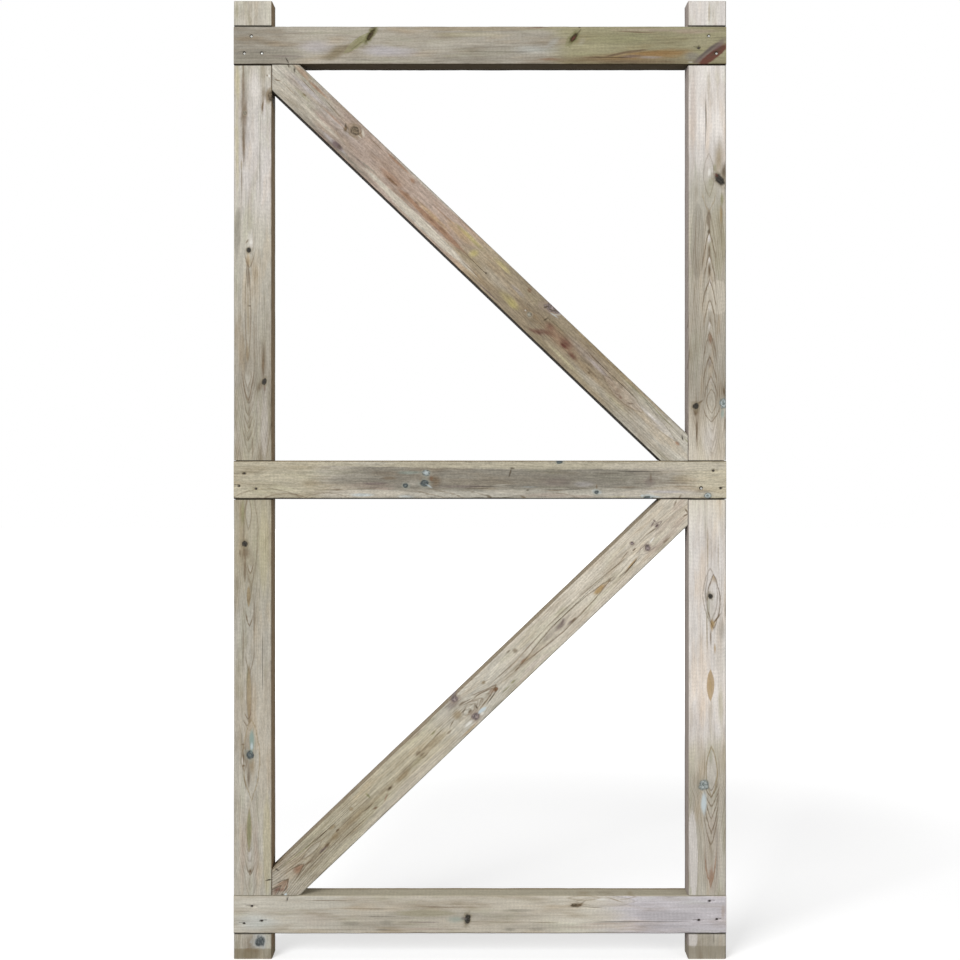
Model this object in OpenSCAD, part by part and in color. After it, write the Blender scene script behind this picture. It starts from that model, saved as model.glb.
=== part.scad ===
/* [Gate] */
// Overall width, across both stiles
gate_w = 900; // [600:10:1200]
// Overall height, over the horns
gate_h = 1750; // [1000:10:2200]
// Length of each stile that runs on past the outer rails
horn_l = 46; // [20:1:120]
// How far the middle rail sits above the middle of the gate
middle_rise = 0; // [-150:5:150]

/* [Timber] */
// Thickness of every timber, so that both faces of the gate are flush
timber_t = 45; // [30:1:75]
// Face width of the stiles
stile_w = 70; // [45:1:100]
// Face width of the rails
rail_w = 70; // [45:1:100]
// Face width of the diagonal braces
brace_w = 70; // [45:1:100]
// Radius of the eased arrises along every timber
arris_r = 2.5; // [1:0.5:5]

/* [Joints] */
// Share of the thickness that the rail keeps where it crosses a stile
lap_share = 0.5; // [0.35:0.05:0.65]
// Clearance between a rail's edge and the side of its housing in the stile
housing_gap = 0.5; // [0.2:0.1:1.5]
// Clearance between the end of a brace and the timbers it bears on
brace_gap = 0; // [0:0.1:1]

/* [Hidden] */

// The front of the gate faces -Y. The origin is on the outer edge of the
// hanging stile, midway through its thickness, level with its foot.
front_y = -timber_t / 2;
lap_y = front_y + timber_t * lap_share;

bottom_rail_z = horn_l;
middle_rail_z = (gate_h - rail_w) / 2 + middle_rise;
top_rail_z = gate_h - horn_l - rail_w;
rail_heights = [bottom_rail_z, middle_rail_z, top_rail_z];

bay_x = stile_w;
bay_w = gate_w - 2 * stile_w;

cut_past = 5; // how far a cutting block runs on past the timber that it cuts
arc_facets = 32;

wood_green = [0.74, 0.72, 0.60];
wood_pink = [0.78, 0.73, 0.68];
wood_brown = [0.70, 0.64, 0.54];

// Section of a planed timber: w across the face, timber_t deep, arrises eased.
module section(w) {
    square([w, timber_t - 2 * arris_r], center = true);
    square([w - 2 * arris_r, timber_t], center = true);
    for (x = [-1, 1], y = [-1, 1])
        translate([x * (w / 2 - arris_r), y * (timber_t / 2 - arris_r)])
            circle(r = arris_r, $fn = arc_facets);
}

// Timber of length l standing on z = 0, centred on the z axis.
module upright(w, l) {
    linear_extrude(height = l) section(w);
}

// Timber of length l lying from x = 0 along +X, its lower edge on z = 0.
module level(w, l) {
    translate([0, 0, w / 2])
        rotate([0, 90, 0])
            linear_extrude(height = l) section(w);
}

// Housing across the front of a stile, open at both of its edges, for a rail at height z.
module rail_housing(z) {
    translate([-stile_w / 2 - cut_past, front_y - cut_past, z - housing_gap])
        cube([stile_w + 2 * cut_past, lap_y - front_y + cut_past, rail_w + 2 * housing_gap]);
}

// Stile with its three housings, its outer edge at x.
module stile(x) {
    translate([x + stile_w / 2, 0, 0])
        difference() {
            upright(stile_w, gate_h);
            for (z = rail_heights) rail_housing(z);
        }
}

// Rail whose ends are halved to lap over the stiles and finish flush with their outer edges.
module rail(z) {
    shoulder_t = timber_t - timber_t * lap_share;
    translate([0, 0, z])
        difference() {
            level(rail_w, gate_w);
            for (x = [-cut_past, gate_w - stile_w])
                translate([x, lap_y, -cut_past])
                    cube([stile_w + cut_past, shoulder_t + cut_past, rail_w + 2 * cut_past]);
        }
}

// Diagonal brace across the bay between heights z0 and z1. Its centre line runs
// from corner to corner, and each end is cut to a point that fills its corner.
// rise is 1 for a brace that climbs towards the closing stile, -1 for one that falls.
module brace(z0, z1, rise) {
    bay_h = z1 - z0;
    slope = atan2(bay_h, bay_w);
    diagonal = norm([bay_w, bay_h]);
    overrun = brace_w;
    intersection() {
        translate([bay_x + bay_w / 2, 0, z0 + bay_h / 2])
            rotate([0, -rise * slope, 0])
                translate([-diagonal / 2 - overrun, 0, -brace_w / 2])
                    level(brace_w, diagonal + 2 * overrun);
        translate([bay_x + brace_gap, front_y - cut_past, z0 + brace_gap])
            cube([bay_w - 2 * brace_gap, timber_t + 2 * cut_past, bay_h - 2 * brace_gap]);
    }
}

module hanging_stile() { color(wood_green) stile(0); }
module closing_stile() { color(wood_pink) stile(gate_w - stile_w); }
module top_rail() { color(wood_brown) rail(top_rail_z); }
module middle_rail() { color(wood_green) rail(middle_rail_z); }
module bottom_rail() { color(wood_pink) rail(bottom_rail_z); }
module upper_brace() { color(wood_brown) brace(middle_rail_z + rail_w, top_rail_z, -1); }
module lower_brace() { color(wood_green) brace(bottom_rail_z + rail_w, middle_rail_z, 1); }

hanging_stile();
closing_stile();
top_rail();
middle_rail();
bottom_rail();
upper_brace();
lower_brace();
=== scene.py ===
"""Visual model of a softwood garden gate frame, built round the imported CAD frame.

Each timber is a dense mesh of its own, in the timber's own axes: X (u) runs along the grain, Y (d) goes
back from the front face and Z (v) runs across the face. Sizes inside a timber are in millimetres until its
mesh is made.
"""
import math
from dataclasses import dataclass, field
from types import SimpleNamespace

import bpy
import numpy as np
from mathutils import Matrix, Vector


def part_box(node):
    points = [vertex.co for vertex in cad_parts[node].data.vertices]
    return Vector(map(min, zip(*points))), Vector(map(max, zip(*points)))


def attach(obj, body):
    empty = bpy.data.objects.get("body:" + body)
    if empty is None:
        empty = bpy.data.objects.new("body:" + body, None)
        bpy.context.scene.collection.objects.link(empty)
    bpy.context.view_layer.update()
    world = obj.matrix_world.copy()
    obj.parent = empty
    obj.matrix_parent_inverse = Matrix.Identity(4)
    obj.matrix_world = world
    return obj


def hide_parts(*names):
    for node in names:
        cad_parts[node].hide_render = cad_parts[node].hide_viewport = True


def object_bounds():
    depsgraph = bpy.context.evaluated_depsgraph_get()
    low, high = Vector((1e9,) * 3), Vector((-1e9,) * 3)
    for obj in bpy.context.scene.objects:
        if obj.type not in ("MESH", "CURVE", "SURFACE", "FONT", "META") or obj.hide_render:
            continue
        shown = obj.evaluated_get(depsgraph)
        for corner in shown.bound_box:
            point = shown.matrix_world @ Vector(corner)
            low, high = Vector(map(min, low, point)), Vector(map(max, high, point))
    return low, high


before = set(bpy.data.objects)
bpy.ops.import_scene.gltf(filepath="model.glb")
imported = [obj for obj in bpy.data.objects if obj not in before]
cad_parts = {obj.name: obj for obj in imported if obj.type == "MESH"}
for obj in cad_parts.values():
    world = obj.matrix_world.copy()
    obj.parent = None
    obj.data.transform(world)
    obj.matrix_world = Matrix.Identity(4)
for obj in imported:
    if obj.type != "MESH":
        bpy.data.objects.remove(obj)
cad_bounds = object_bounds()

MM = 0.001

# ---------------------------------------------------------------------------------------------
# Sizes that the frame doesn't state, in millimetres
# ---------------------------------------------------------------------------------------------
ARRIS = 2.5  # radius of the eased long edges
HOUSING_GAPS = {"top_rail": (1.4, 1.6), "middle_rail": (0.8, 1.0), "bottom_rail": (0.4, 0.8)}  # above, below
OPEN_GAP = 1.8  # a housing's gap that looks black: a seam's painted shade is its gap's width over this
BRACE_GAP = 0.4  # between a brace's end and the timbers that it meets
SEAM = 1.0  # how far a joint's painted shade spreads over the face
BRACE_END_SHADE = 0.6  # how dark the painted shade at a brace's ends is
ROW_STEP, FINE_ROW_STEP = 9.0, 1.5  # mesh rows along the grain, plain and near a knot or nail
COLUMN_STEP, SIDE_STEP = 1.5, 2.5  # mesh columns across the face and across the side
JAG = 9.0  # how ragged a stain's edge is
LINE_W = 3.6  # of a lens's lines, edge to edge
SIDE_STAIN_AND_SHADE = 0.97  # how far the sides' own tones, stain and painted shade, cover them
CHECK_W = 0.45  # half the width of a drying check
ARRIS_MARGIN = 1.2  # between an arris and the first plain mesh line
TOUCH = 0.01  # how near two places are when they count as one
FACE_HILLS = ((0.22, 260, 40), (0.12, 70, 9), (0.06, 30, 2.5))  # height, and grain along and across
SIDE_HILLS = ((0.2, 200, 25), (0.1, 50, 5))
KNOT_GROOVE, KNOT_BULGE, KNOT_PIT = 0.35, 0.08, 0.18  # round its rim, over it, and at its core
GOUGE_DEPTH = 2.2
NAIL_ROOM = 0.8  # between a nail's head and the bottom of its hole
BACK_WEAR_AND_SHADE = 0.45  # how dark the back's arrises are: wear, and painted shade along the far edge of each side
MITRE_FADE = 90.0  # how far along a brace its rows lean towards the end cut
ISLAND_GAP = 5.0  # between two islands of the UV layout
ISLAND_LENGTH = 450.0  # about how long one is
BRIGHT_HOLE_R, DARK_HOLE_R = 3.0, 2.3  # of a nail's hole
BRIGHT_SUNK, DARK_SUNK = 1.4, 3.4  # how far a nail's head sits below the face
BRIGHT_HEAD_R, DARK_HEAD_R = 2.1, 1.9
OFF_CENTRE = (0.5, -0.7)  # where a bright head sits in its hole, along and across

# ---------------------------------------------------------------------------------------------
# Wood tones, linear
# ---------------------------------------------------------------------------------------------
TONES = {
    "milk": (0.69, 0.65, 0.61),
    "cream": (0.59, 0.54, 0.45),
    "linen": (0.51, 0.48, 0.41),
    "straw": (0.52, 0.47, 0.31),
    "silver": (0.42, 0.385, 0.32),
    "olive": (0.36, 0.33, 0.22),
    "moss": (0.27, 0.26, 0.14),
    "slate": (0.25, 0.23, 0.19),
    "lilac": (0.48, 0.455, 0.47),
    "blush": (0.44, 0.35, 0.29),
    "brick": (0.33, 0.21, 0.14),
    "tan": (0.33, 0.26, 0.16),
    "amber": (0.43, 0.29, 0.13),
    "umber": (0.18, 0.13, 0.08),
    "bark": (0.09, 0.07, 0.045),
    "oxblood": (0.13, 0.05, 0.038),
    "wet": (0.24, 0.20, 0.13),
    "russet": (0.20, 0.12, 0.07),
    "teal": (0.29, 0.37, 0.33),
    "frost": (0.58, 0.65, 0.67),
    "lime": (0.48, 0.42, 0.16),
    "plum": (0.17, 0.125, 0.12),
    "ink": (0.05, 0.055, 0.05),
    "chip": (0.80, 0.78, 0.72),
    "pit": (0.03, 0.025, 0.02),
    "rose": (0.40, 0.345, 0.31),
    "damp": (0.30, 0.265, 0.20),
    "fawn": (0.37, 0.305, 0.215),
    "fern": (0.31, 0.285, 0.18),
    "ochre": (0.27, 0.165, 0.07),
    "soot": (0.08, 0.058, 0.032),
    "sand": (0.50, 0.455, 0.345),
    "clay": (0.30, 0.215, 0.125),
}

# How each kind of knot looks: core, body and rim tones, then the halo's tone and strength.
KNOT_LOOKS = {
    "black": ((0.035, 0.03, 0.027), (0.05, 0.046, 0.038), (0.035, 0.03, 0.024), (0.24, 0.20, 0.13), 0.6),
    "brown": ((0.13, 0.10, 0.065), (0.16, 0.125, 0.085), (0.08, 0.062, 0.042), (0.27, 0.21, 0.13), 0.6),
    "blue": ((0.13, 0.145, 0.14), (0.09, 0.105, 0.105), (0.06, 0.07, 0.07), (0.34, 0.36, 0.31), 0.45),
    "ringed": ((0.18, 0.21, 0.20), (0.34, 0.37, 0.36), (0.15, 0.17, 0.16), (0.40, 0.38, 0.31), 0.35),
    "slate": ((0.09, 0.10, 0.105), (0.11, 0.12, 0.12), (0.13, 0.14, 0.14), (0.50, 0.51, 0.49), 0.7),
    "pale": ((0.30, 0.27, 0.22), (0.27, 0.25, 0.20), (0.12, 0.115, 0.085), (0.34, 0.29, 0.22), 0.6),
    "plum": ((0.30, 0.25, 0.24), (0.21, 0.17, 0.16), (0.15, 0.12, 0.11), (0.33, 0.26, 0.21), 0.6),
    "spike": ((0.035, 0.022, 0.01), (0.045, 0.036, 0.016), (0.09, 0.08, 0.035), (0.19, 0.18, 0.09), 0.85),
}


# ---------------------------------------------------------------------------------------------
# What a timber carries
# ---------------------------------------------------------------------------------------------
@dataclass
class Knot:
    """A branch cut through by the face, at (u, v). Turn is in degrees."""

    u: float
    v: float
    length: float
    width: float
    look: str
    turn: float = 0
    flow: float = 0.75  # how strongly the growth rings part round it
    reach: tuple = (30, 9)  # how far they part, along and across
    lean: tuple = (6, 3)  # how far it shifts from the front face to the back, along and across


@dataclass
class Blot:
    """A stain with its middle at (u, v): longer than wide, so drawn along the grain."""

    u: float
    v: float
    length: float
    width: float
    tone: str
    amount: float = 0.6
    turn: float = 0
    soft: float = 0.8
    d: float = 0  # depth of its middle
    deep: float = 30  # how far it spreads through the thickness


@dataclass
class Lens:
    """Two ring lines that meet in points, with the early wood between them stained."""

    u: float
    v: float
    length: float
    width: float
    line: str
    dark: float  # strength of the lines
    fill: str = "amber"
    amount: float = 0.0
    tips: float = -1.0  # how far out the stain begins: -1 fills it all, 0.5 only the outer half
    half: int = 0  # 1 or -1 leaves only the end towards a higher or a lower u
    turn: float = 0


@dataclass
class Check:
    """A drying crack along the grain on the front or back face."""

    u: float
    length: float
    lane: float
    depth: float = 1.4
    back: bool = False


@dataclass
class Timber:
    node: str
    start: tuple  # of the centre line, on the front face, in millimetres
    along: tuple
    length: float
    width: float
    thick: float
    seed: int
    # (from u, to u, "front" or "back", shade, shade): half the thickness cut away, and the painted shade at
    # its two seams
    laps: list = field(default_factory=list)
    mitre: tuple = (0, 0)  # how fast the end cut runs back on each side of the centre line
    zones: list = field(default_factory=list)  # (u, tone, brightness)
    heart: list = field(default_factory=list)  # (u, v, d, rings, contrast): see ring_lines
    ring: float = 3.2  # growth ring width
    inward: bool = False  # the dark side of a ring faces the heart
    knots: list = field(default_factory=list)
    # tones at the front and at the back, of the side at low v and of the side at high v: the side's own stain
    # and painted shade, dark on undersides and towards the back
    sides: tuple = (("silver", "slate"), ("silver", "slate"))
    edges: tuple = (0.45, 0.45)  # how dark the front's long arrises at low and high v are, up to 1.5: wear and painted shade
    mottle: float = 0.05  # how strong the fine blotches are
    streaks: float = 0.06  # and the long streaks
    wet: tuple = ()  # (from u, tone, amount): the damp lower end
    lenses: list = field(default_factory=list)
    blots: list = field(default_factory=list)  # rows of a Blot's values, laid under the knots
    marks: list = field(default_factory=list)  # the same, laid over the knots
    checks: list = field(default_factory=list)
    nails: list = field(default_factory=list)  # (u, v, bright)
    gouges: list = field(default_factory=list)  # (u, v, length, width, turn) of a skew nail's slot

    def __post_init__(self):
        self.blots = [Blot(*row) for row in self.blots]
        self.marks = [Blot(*row) for row in self.marks]

    def matrix(self):
        x = Vector(self.along)
        y = Vector((0, 1, 0))
        z = x.cross(y)
        turn = Matrix((x, y, z)).transposed().to_4x4()
        return Matrix.Translation(Vector(self.start) * MM) @ turn


def box_mm(node):
    lo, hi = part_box(node)
    return np.array(lo) / MM, np.array(hi) / MM


# ---------------------------------------------------------------------------------------------
# Random surfaces
# ---------------------------------------------------------------------------------------------
def hills(rng, x, y, size_x, size_y):
    """Smooth random heights from 0 to 1, in cells of size_x by size_y."""
    x = (x - x.min()) / size_x
    y = (y - y.min()) / size_y
    table = rng.random((int(x.max()) + 2, int(y.max()) + 2))
    i, j = x.astype(int), y.astype(int)
    s, t = x - i, y - j
    s, t = s * s * (3 - 2 * s), t * t * (3 - 2 * t)
    low = table[i, j] * (1 - s) + table[i + 1, j] * s
    high = table[i, j + 1] * (1 - s) + table[i + 1, j + 1] * s
    return low * (1 - t) + high * t


def local_axes(u, v, spot_u, spot_v, turn):
    """Offsets from a spot, along and across its own turned axes."""
    a = math.radians(turn)
    du, dv = u - spot_u, v - spot_v
    return du * math.cos(a) + dv * math.sin(a), dv * math.cos(a) - du * math.sin(a)


# ---------------------------------------------------------------------------------------------
# Timber meshes
# ---------------------------------------------------------------------------------------------
def steps(start, end, step, fine_step=None, spots=()):
    """Places from start to end, closer together near each spot (place, reach)."""
    places = [start]
    while places[-1] < end:
        near = any(abs(places[-1] - place) < reach for place, reach in spots)
        places.append(places[-1] + (fine_step if near else step))
    places = np.array(places)
    return start + (places - start) * (end - start) / (places[-1] - start)


def row_places(timber):
    """Mesh rows along a timber, cut exactly at its laps, with a row close to each joint."""
    spots = [(k.u, k.length * 0.8 + 2) for k in timber.knots]
    spots += [(nail[0], BRIGHT_HOLE_R + 2.5) for nail in timber.nails]
    spots += [(g[0], g[2] * 0.6 + 2) for g in timber.gouges]
    joints = {0.0, timber.length} | {u for lap in timber.laps for u in lap[:2]}
    beside = {u + side * SEAM for u in joints for side in (-1, 1)}
    marks = sorted(joints | {u for u in beside if 0 < u < timber.length})
    rows = [np.array([0.0])]
    for start, end in zip(marks, marks[1:]):
        rows.append(steps(start, end, ROW_STEP, FINE_ROW_STEP, spots)[1:])
    return np.concatenate(rows)


def column_places(timber):
    """Mesh columns across the face: the arris, plain steps, and a few beside each lane of checks."""
    edge = timber.width / 2
    inner = edge - ARRIS - ARRIS_MARGIN
    plain = steps(-inner, inner, COLUMN_STEP)
    lanes = {check.lane for check in timber.checks}
    for lane in lanes:
        plain = plain[abs(plain - lane) > 2 * CHECK_W]
    plain = [*plain, *(lane + s * CHECK_W for lane in lanes for s in (-2, -1, 0, 1, 2))]
    if timber.mitre != (0, 0):
        plain = [*(p for p in plain if abs(p) > 0.5), 0.0]
    arris = [edge, edge - 0.6 * ARRIS, edge - ARRIS]
    return np.unique(np.round([*(-a for a in arris), *plain, *arris], 4))


def depth_places(timber):
    """Mesh lines through the thickness, with one at the middle, where laps are cut."""
    middle = timber.thick / 2
    half = steps(ARRIS + ARRIS_MARGIN, middle, SIDE_STEP)
    front = [0, 0.6 * ARRIS, ARRIS, *half]
    return np.unique(np.round([*front, *(timber.thick - p for p in front)], 4))


def rolling(rng, hill_sizes, u, across):
    """The sum of several layers of hills."""
    return sum(height * hills(rng, u, across, along, wide) for height, along, wide in hill_sizes)


def round_arrises(points, timber, rng):
    """Moves the outer lines of the lattice onto rounded edges, whose radius wanders along the timber."""
    u = points[:, 0, 0, 0]
    angles = [math.radians(a) for a in (45, 67.5, 90)]
    for v_end in (0, -1):
        for d_end in (0, -1):
            wander = hills(rng, u, 0 * u, 60, 1) + 0.8 * hills(rng, u, 0 * u, 11, 1) ** 3
            radius = ARRIS * (0.65 + 0.7 * wander)
            v_side, v_step = (-1, 1) if v_end == 0 else (1, -1)
            d_side, d_step = (-1, 1) if d_end == 0 else (1, -1)
            v_edge = v_side * timber.width / 2
            d_edge = 0 if d_end == 0 else timber.thick
            for n, angle in enumerate(angles):
                flat, turned = radius * (1 - math.cos(angle)), radius * (1 - math.sin(angle))
                across = v_end + v_step * n
                through = d_end + d_step * n
                points[:, d_end, across, 2] = v_edge - v_side * flat
                points[:, d_end, across, 1] = d_edge - d_side * turned
                points[:, through, v_end, 2] = v_edge - v_side * turned
                points[:, through, v_end, 1] = d_edge - d_side * flat


def mitre_ends(points, timber):
    """Runs the rows back at both ends, so that the timber ends in a point on its centre line."""
    low, high = timber.mitre
    v = points[..., 2]
    cut = BRACE_GAP + np.where(v < 0, -v * low, v * high)
    back_cut = BRACE_GAP + np.where(v > 0, v * low, -v * high)
    u = points[..., 0].copy()
    points[..., 0] += cut * np.clip(1 - u / MITRE_FADE, 0, 1)
    points[..., 0] -= back_cut * np.clip(1 - (timber.length - u) / MITRE_FADE, 0, 1)


def nail_hole(u, v, nail):
    """How far each point lies inside a nail's hole, from 0 to 1. A dark nail's is longer along the grain."""
    nail_u, nail_v, bright = nail
    radius, stretch = (BRIGHT_HOLE_R, 1.0) if bright else (DARK_HOLE_R, 1.4)
    away = np.hypot((u - nail_u) / stretch, v - nail_v)
    return np.clip((radius + 0.7 - away) / 0.9, 0, 1)


def face_relief(timber, rng, u, v, back):
    """How far each point of a face lies below the flat face, and how much painted shade its crevice gets
    there.
    """
    drop = rolling(rng, FACE_HILLS, u, v)
    crevice_shade = np.zeros_like(u)
    for knot in timber.knots:
        a, b = local_axes(u, v, knot.u + knot.lean[0] * back, knot.v + knot.lean[1] * back, knot.turn)
        rho = np.hypot(a / (knot.length / 2), b / (knot.width / 2))
        drop += KNOT_GROOVE * np.exp(-((rho - 1) / 0.16) ** 2) - KNOT_BULGE * np.exp(-((rho / 1.9) ** 4))
        drop += KNOT_PIT * np.exp(-((rho / 0.35) ** 2))
    for check in timber.checks:
        if check.back != back:
            continue
        along = np.clip(1 - abs(u - check.u - check.length / 2) / (check.length / 2), 0, 1)
        crack = np.minimum(1, 3 * along) * (abs(v - check.lane) < 0.6 * CHECK_W)
        drop += check.depth * crack * (0.6 + 0.4 * hills(rng, u, v, 25, 50))
        crevice_shade = np.maximum(crevice_shade, crack)
    if not back:
        for nail in timber.nails:
            deep = (BRIGHT_SUNK if nail[2] else DARK_SUNK) + NAIL_ROOM
            drop += deep * nail_hole(u, v, nail)
        for gouge in timber.gouges:
            a, b = local_axes(u, v, gouge[0], gouge[1], gouge[4])
            inside = np.clip(1.6 - 1.6 * np.hypot(a / (gouge[2] / 2), b / (gouge[3] / 2)), 0, 1)
            drop += GOUGE_DEPTH * inside
            crevice_shade = np.maximum(crevice_shade, inside)
    return np.clip(drop, 0, None), crevice_shade


def seams(timber, u, d, v):
    """Painted shade where another timber meets this one: in housings, on a rail's edges and at a brace's
    ends.
    """
    seam_shade = np.zeros_like(u)
    for start, end, side, first_shade, second_shade in timber.laps:
        over = (u > start - TOUCH) & (u < end + TOUCH)
        for sign, place, amount in ((1, start, first_shade), (-1, end, second_shade)):
            on_seam = (abs(u - place) < TOUCH) & (d < timber.thick / 2 + TOUCH)
            if side == "back":
                on_seam = over & (sign * v > timber.width / 2 - TOUCH) & (d > 1)
            seam_shade[on_seam] = amount
    if timber.mitre != (0, 0):
        seam_shade[(u < TOUCH) | (u > timber.length - TOUCH)] = BRACE_END_SHADE
    return seam_shade


def skin(solid):
    """The faces between a lattice's solid cells and the space round them, as corners (cells, 4, 3)."""
    room = np.pad(solid, 1)
    core = (slice(1, -1),) * 3
    quads = []
    for axis in range(3):
        b, c = (axis + 1) % 3, (axis + 2) % 3
        for high in (0, 1):
            beside = [slice(1, -1)] * 3
            beside[axis] = slice(2, None) if high else slice(0, -2)
            cells = np.argwhere(room[core] & ~room[tuple(beside)])
            ring = [(0, 0), (1, 0), (1, 1), (0, 1)]
            corners = np.repeat(cells[:, None, :], 4, axis=1)
            corners[..., axis] += high
            for n, (step_b, step_c) in enumerate(ring if high else ring[::-1]):
                corners[:, n, b] += step_b
                corners[:, n, c] += step_c
            quads.append((axis, high, corners))
    return quads


def lay_out(sizes, gap):
    """Packs rectangles (length, height) in rows, and gives each one's corner and the side of the square."""
    order = sorted(range(len(sizes)), key=lambda n: -sizes[n][1])
    side = max(max(s) for s in sizes) + gap
    while True:
        corners, x, y, shelf = {}, 0.0, 0.0, 0.0
        for n in order:
            length, height = sizes[n]
            if x + length + gap > side:
                x, y, shelf = 0.0, y + shelf, 0.0
            corners[n] = (x, y)
            x += length + gap
            shelf = max(shelf, height + gap)
        if y + shelf <= side:
            return corners, side
        side *= 1.01


def unwrap(points, quads, timber):
    """UVs that cut the timber's long sides in equal lengths, to fill a square at one scale."""
    pieces = max(2, round(timber.length / ISLAND_LENGTH))
    piece_length = timber.length / pieces
    islands, keys, places = {}, [], []
    for axis, high, corners in quads:
        at = points[corners[..., 0], corners[..., 1], corners[..., 2]]
        if axis == 0:
            flat = at[..., [2, 1]]
            centre = at[..., 0].mean(axis=1)
            part = np.round(centre).astype(int)
        else:
            flat = at[..., [0, 2 if axis == 1 else 1]]
            part = np.clip(at[..., 0].mean(axis=1) // piece_length, 0, pieces - 1).astype(int)
        for number in np.unique(part):
            chosen = part == number
            low = flat[chosen].reshape(-1, 2).min(axis=0)
            size = flat[chosen].reshape(-1, 2).max(axis=0) - low
            islands[axis, high, number] = (low, size)
        keys.append((axis, high, part))
        places.append(flat)
    names = list(islands)
    corners, side = lay_out([tuple(islands[n][1]) for n in names], ISLAND_GAP)
    out = []
    for (axis, high, part), flat in zip(keys, places):
        uv = np.empty_like(flat)
        for n, name in enumerate(names):
            if name[:2] != (axis, high):
                continue
            chosen = part == name[2]
            uv[chosen] = flat[chosen] - islands[name][0] + np.array(corners[n]) + ISLAND_GAP / 2
        out.append(uv.reshape(-1, 2) / side)
    return np.concatenate(out)


def write_mesh(name, points, quads, uv, attributes):
    """Writes the lattice points that the quads use, and their faces, as one mesh."""
    corners = np.concatenate([quad[2].reshape(-1, 3) for quad in quads])
    flat_index = np.ravel_multi_index(corners.T, points.shape[:3])
    used, loops = np.unique(flat_index, return_inverse=True)
    mesh = bpy.data.meshes.new(name)
    coords = points.reshape(-1, 3)[used] * MM
    mesh.vertices.add(len(used))
    mesh.vertices.foreach_set("co", coords.ravel())
    mesh.loops.add(len(loops))
    mesh.loops.foreach_set("vertex_index", loops.astype(np.int32).ravel())
    count = len(loops) // 4
    mesh.polygons.add(count)
    mesh.polygons.foreach_set("loop_start", np.arange(count, dtype=np.int32) * 4)
    for attribute, values in attributes.items():
        layer = mesh.attributes.new(attribute, "FLOAT", "POINT")
        layer.data.foreach_set("value", values.ravel()[used].astype(np.float32))
    layer = mesh.uv_layers.new(name="OFBake")
    layer.data.foreach_set("uv", uv.ravel().astype(np.float32))
    mesh.update(calc_edges=True)
    mesh.validate()
    mesh.shade_smooth()
    mesh.set_sharp_from_angle(angle=math.radians(50))
    return mesh


def timber_mesh(timber):
    """A timber's lattice, less its laps, with rounded arrises and dented faces."""
    rng = np.random.default_rng(timber.seed)
    u, d, v = row_places(timber), depth_places(timber), column_places(timber)
    points = np.stack(np.meshgrid(u, d, v, indexing="ij"), axis=-1)
    solid = np.ones((len(u) - 1, len(d) - 1, len(v) - 1), bool)
    middle = int(np.argmin(abs(d - timber.thick / 2)))
    for start, end, side in (lap[:3] for lap in timber.laps):
        rows = (u[:-1] >= start - TOUCH) & (u[1:] <= end + TOUCH)
        gone = slice(0, middle) if side == "front" else slice(middle, None)
        solid[rows, gone, :] = False
    quads = skin(solid)
    flat_points = points.copy()
    round_arrises(points, timber, rng)

    # painted shade at joints, cracks and slots, kept as a point attribute
    crevice_shade = seams(timber, *np.moveaxis(flat_points, -1, 0))
    for back, row in ((False, 0), (True, -1)):
        drop, dark = face_relief(timber, rng, flat_points[:, row, :, 0], flat_points[:, row, :, 2], back)
        points[:, row, :, 1] += -drop if back else drop
        crevice_shade[:, row, :] = np.maximum(crevice_shade[:, row, :], dark)
    for column, inward in ((0, 1), (-1, -1)):
        side_u, side_d = flat_points[:, :, column, 0], flat_points[:, :, column, 1]
        drop = rolling(rng, SIDE_HILLS, side_u, side_d)
        points[:, :, column, 2] += inward * drop
    # The arrises' darkening is wear and painted shade.
    wear_and_shade = np.zeros(points.shape[:3])
    wear_and_shade[:, [-1, -1], [0, -1]] = BACK_WEAR_AND_SHADE
    for column, beside, amount in ((0, 1, timber.edges[0]), (-1, -2, timber.edges[1])):
        wear_and_shade[:, 0, column] = amount
        wear_and_shade[:, 0, beside] = max(0.0, amount - 0.5)
    if timber.mitre != (0, 0):
        mitre_ends(points, timber)

    uv = unwrap(flat_points, quads, timber)
    return write_mesh(timber.node + "_timber", points, quads, uv, {"crevice_shade": crevice_shade, "wear_and_shade": wear_and_shade})


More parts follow.
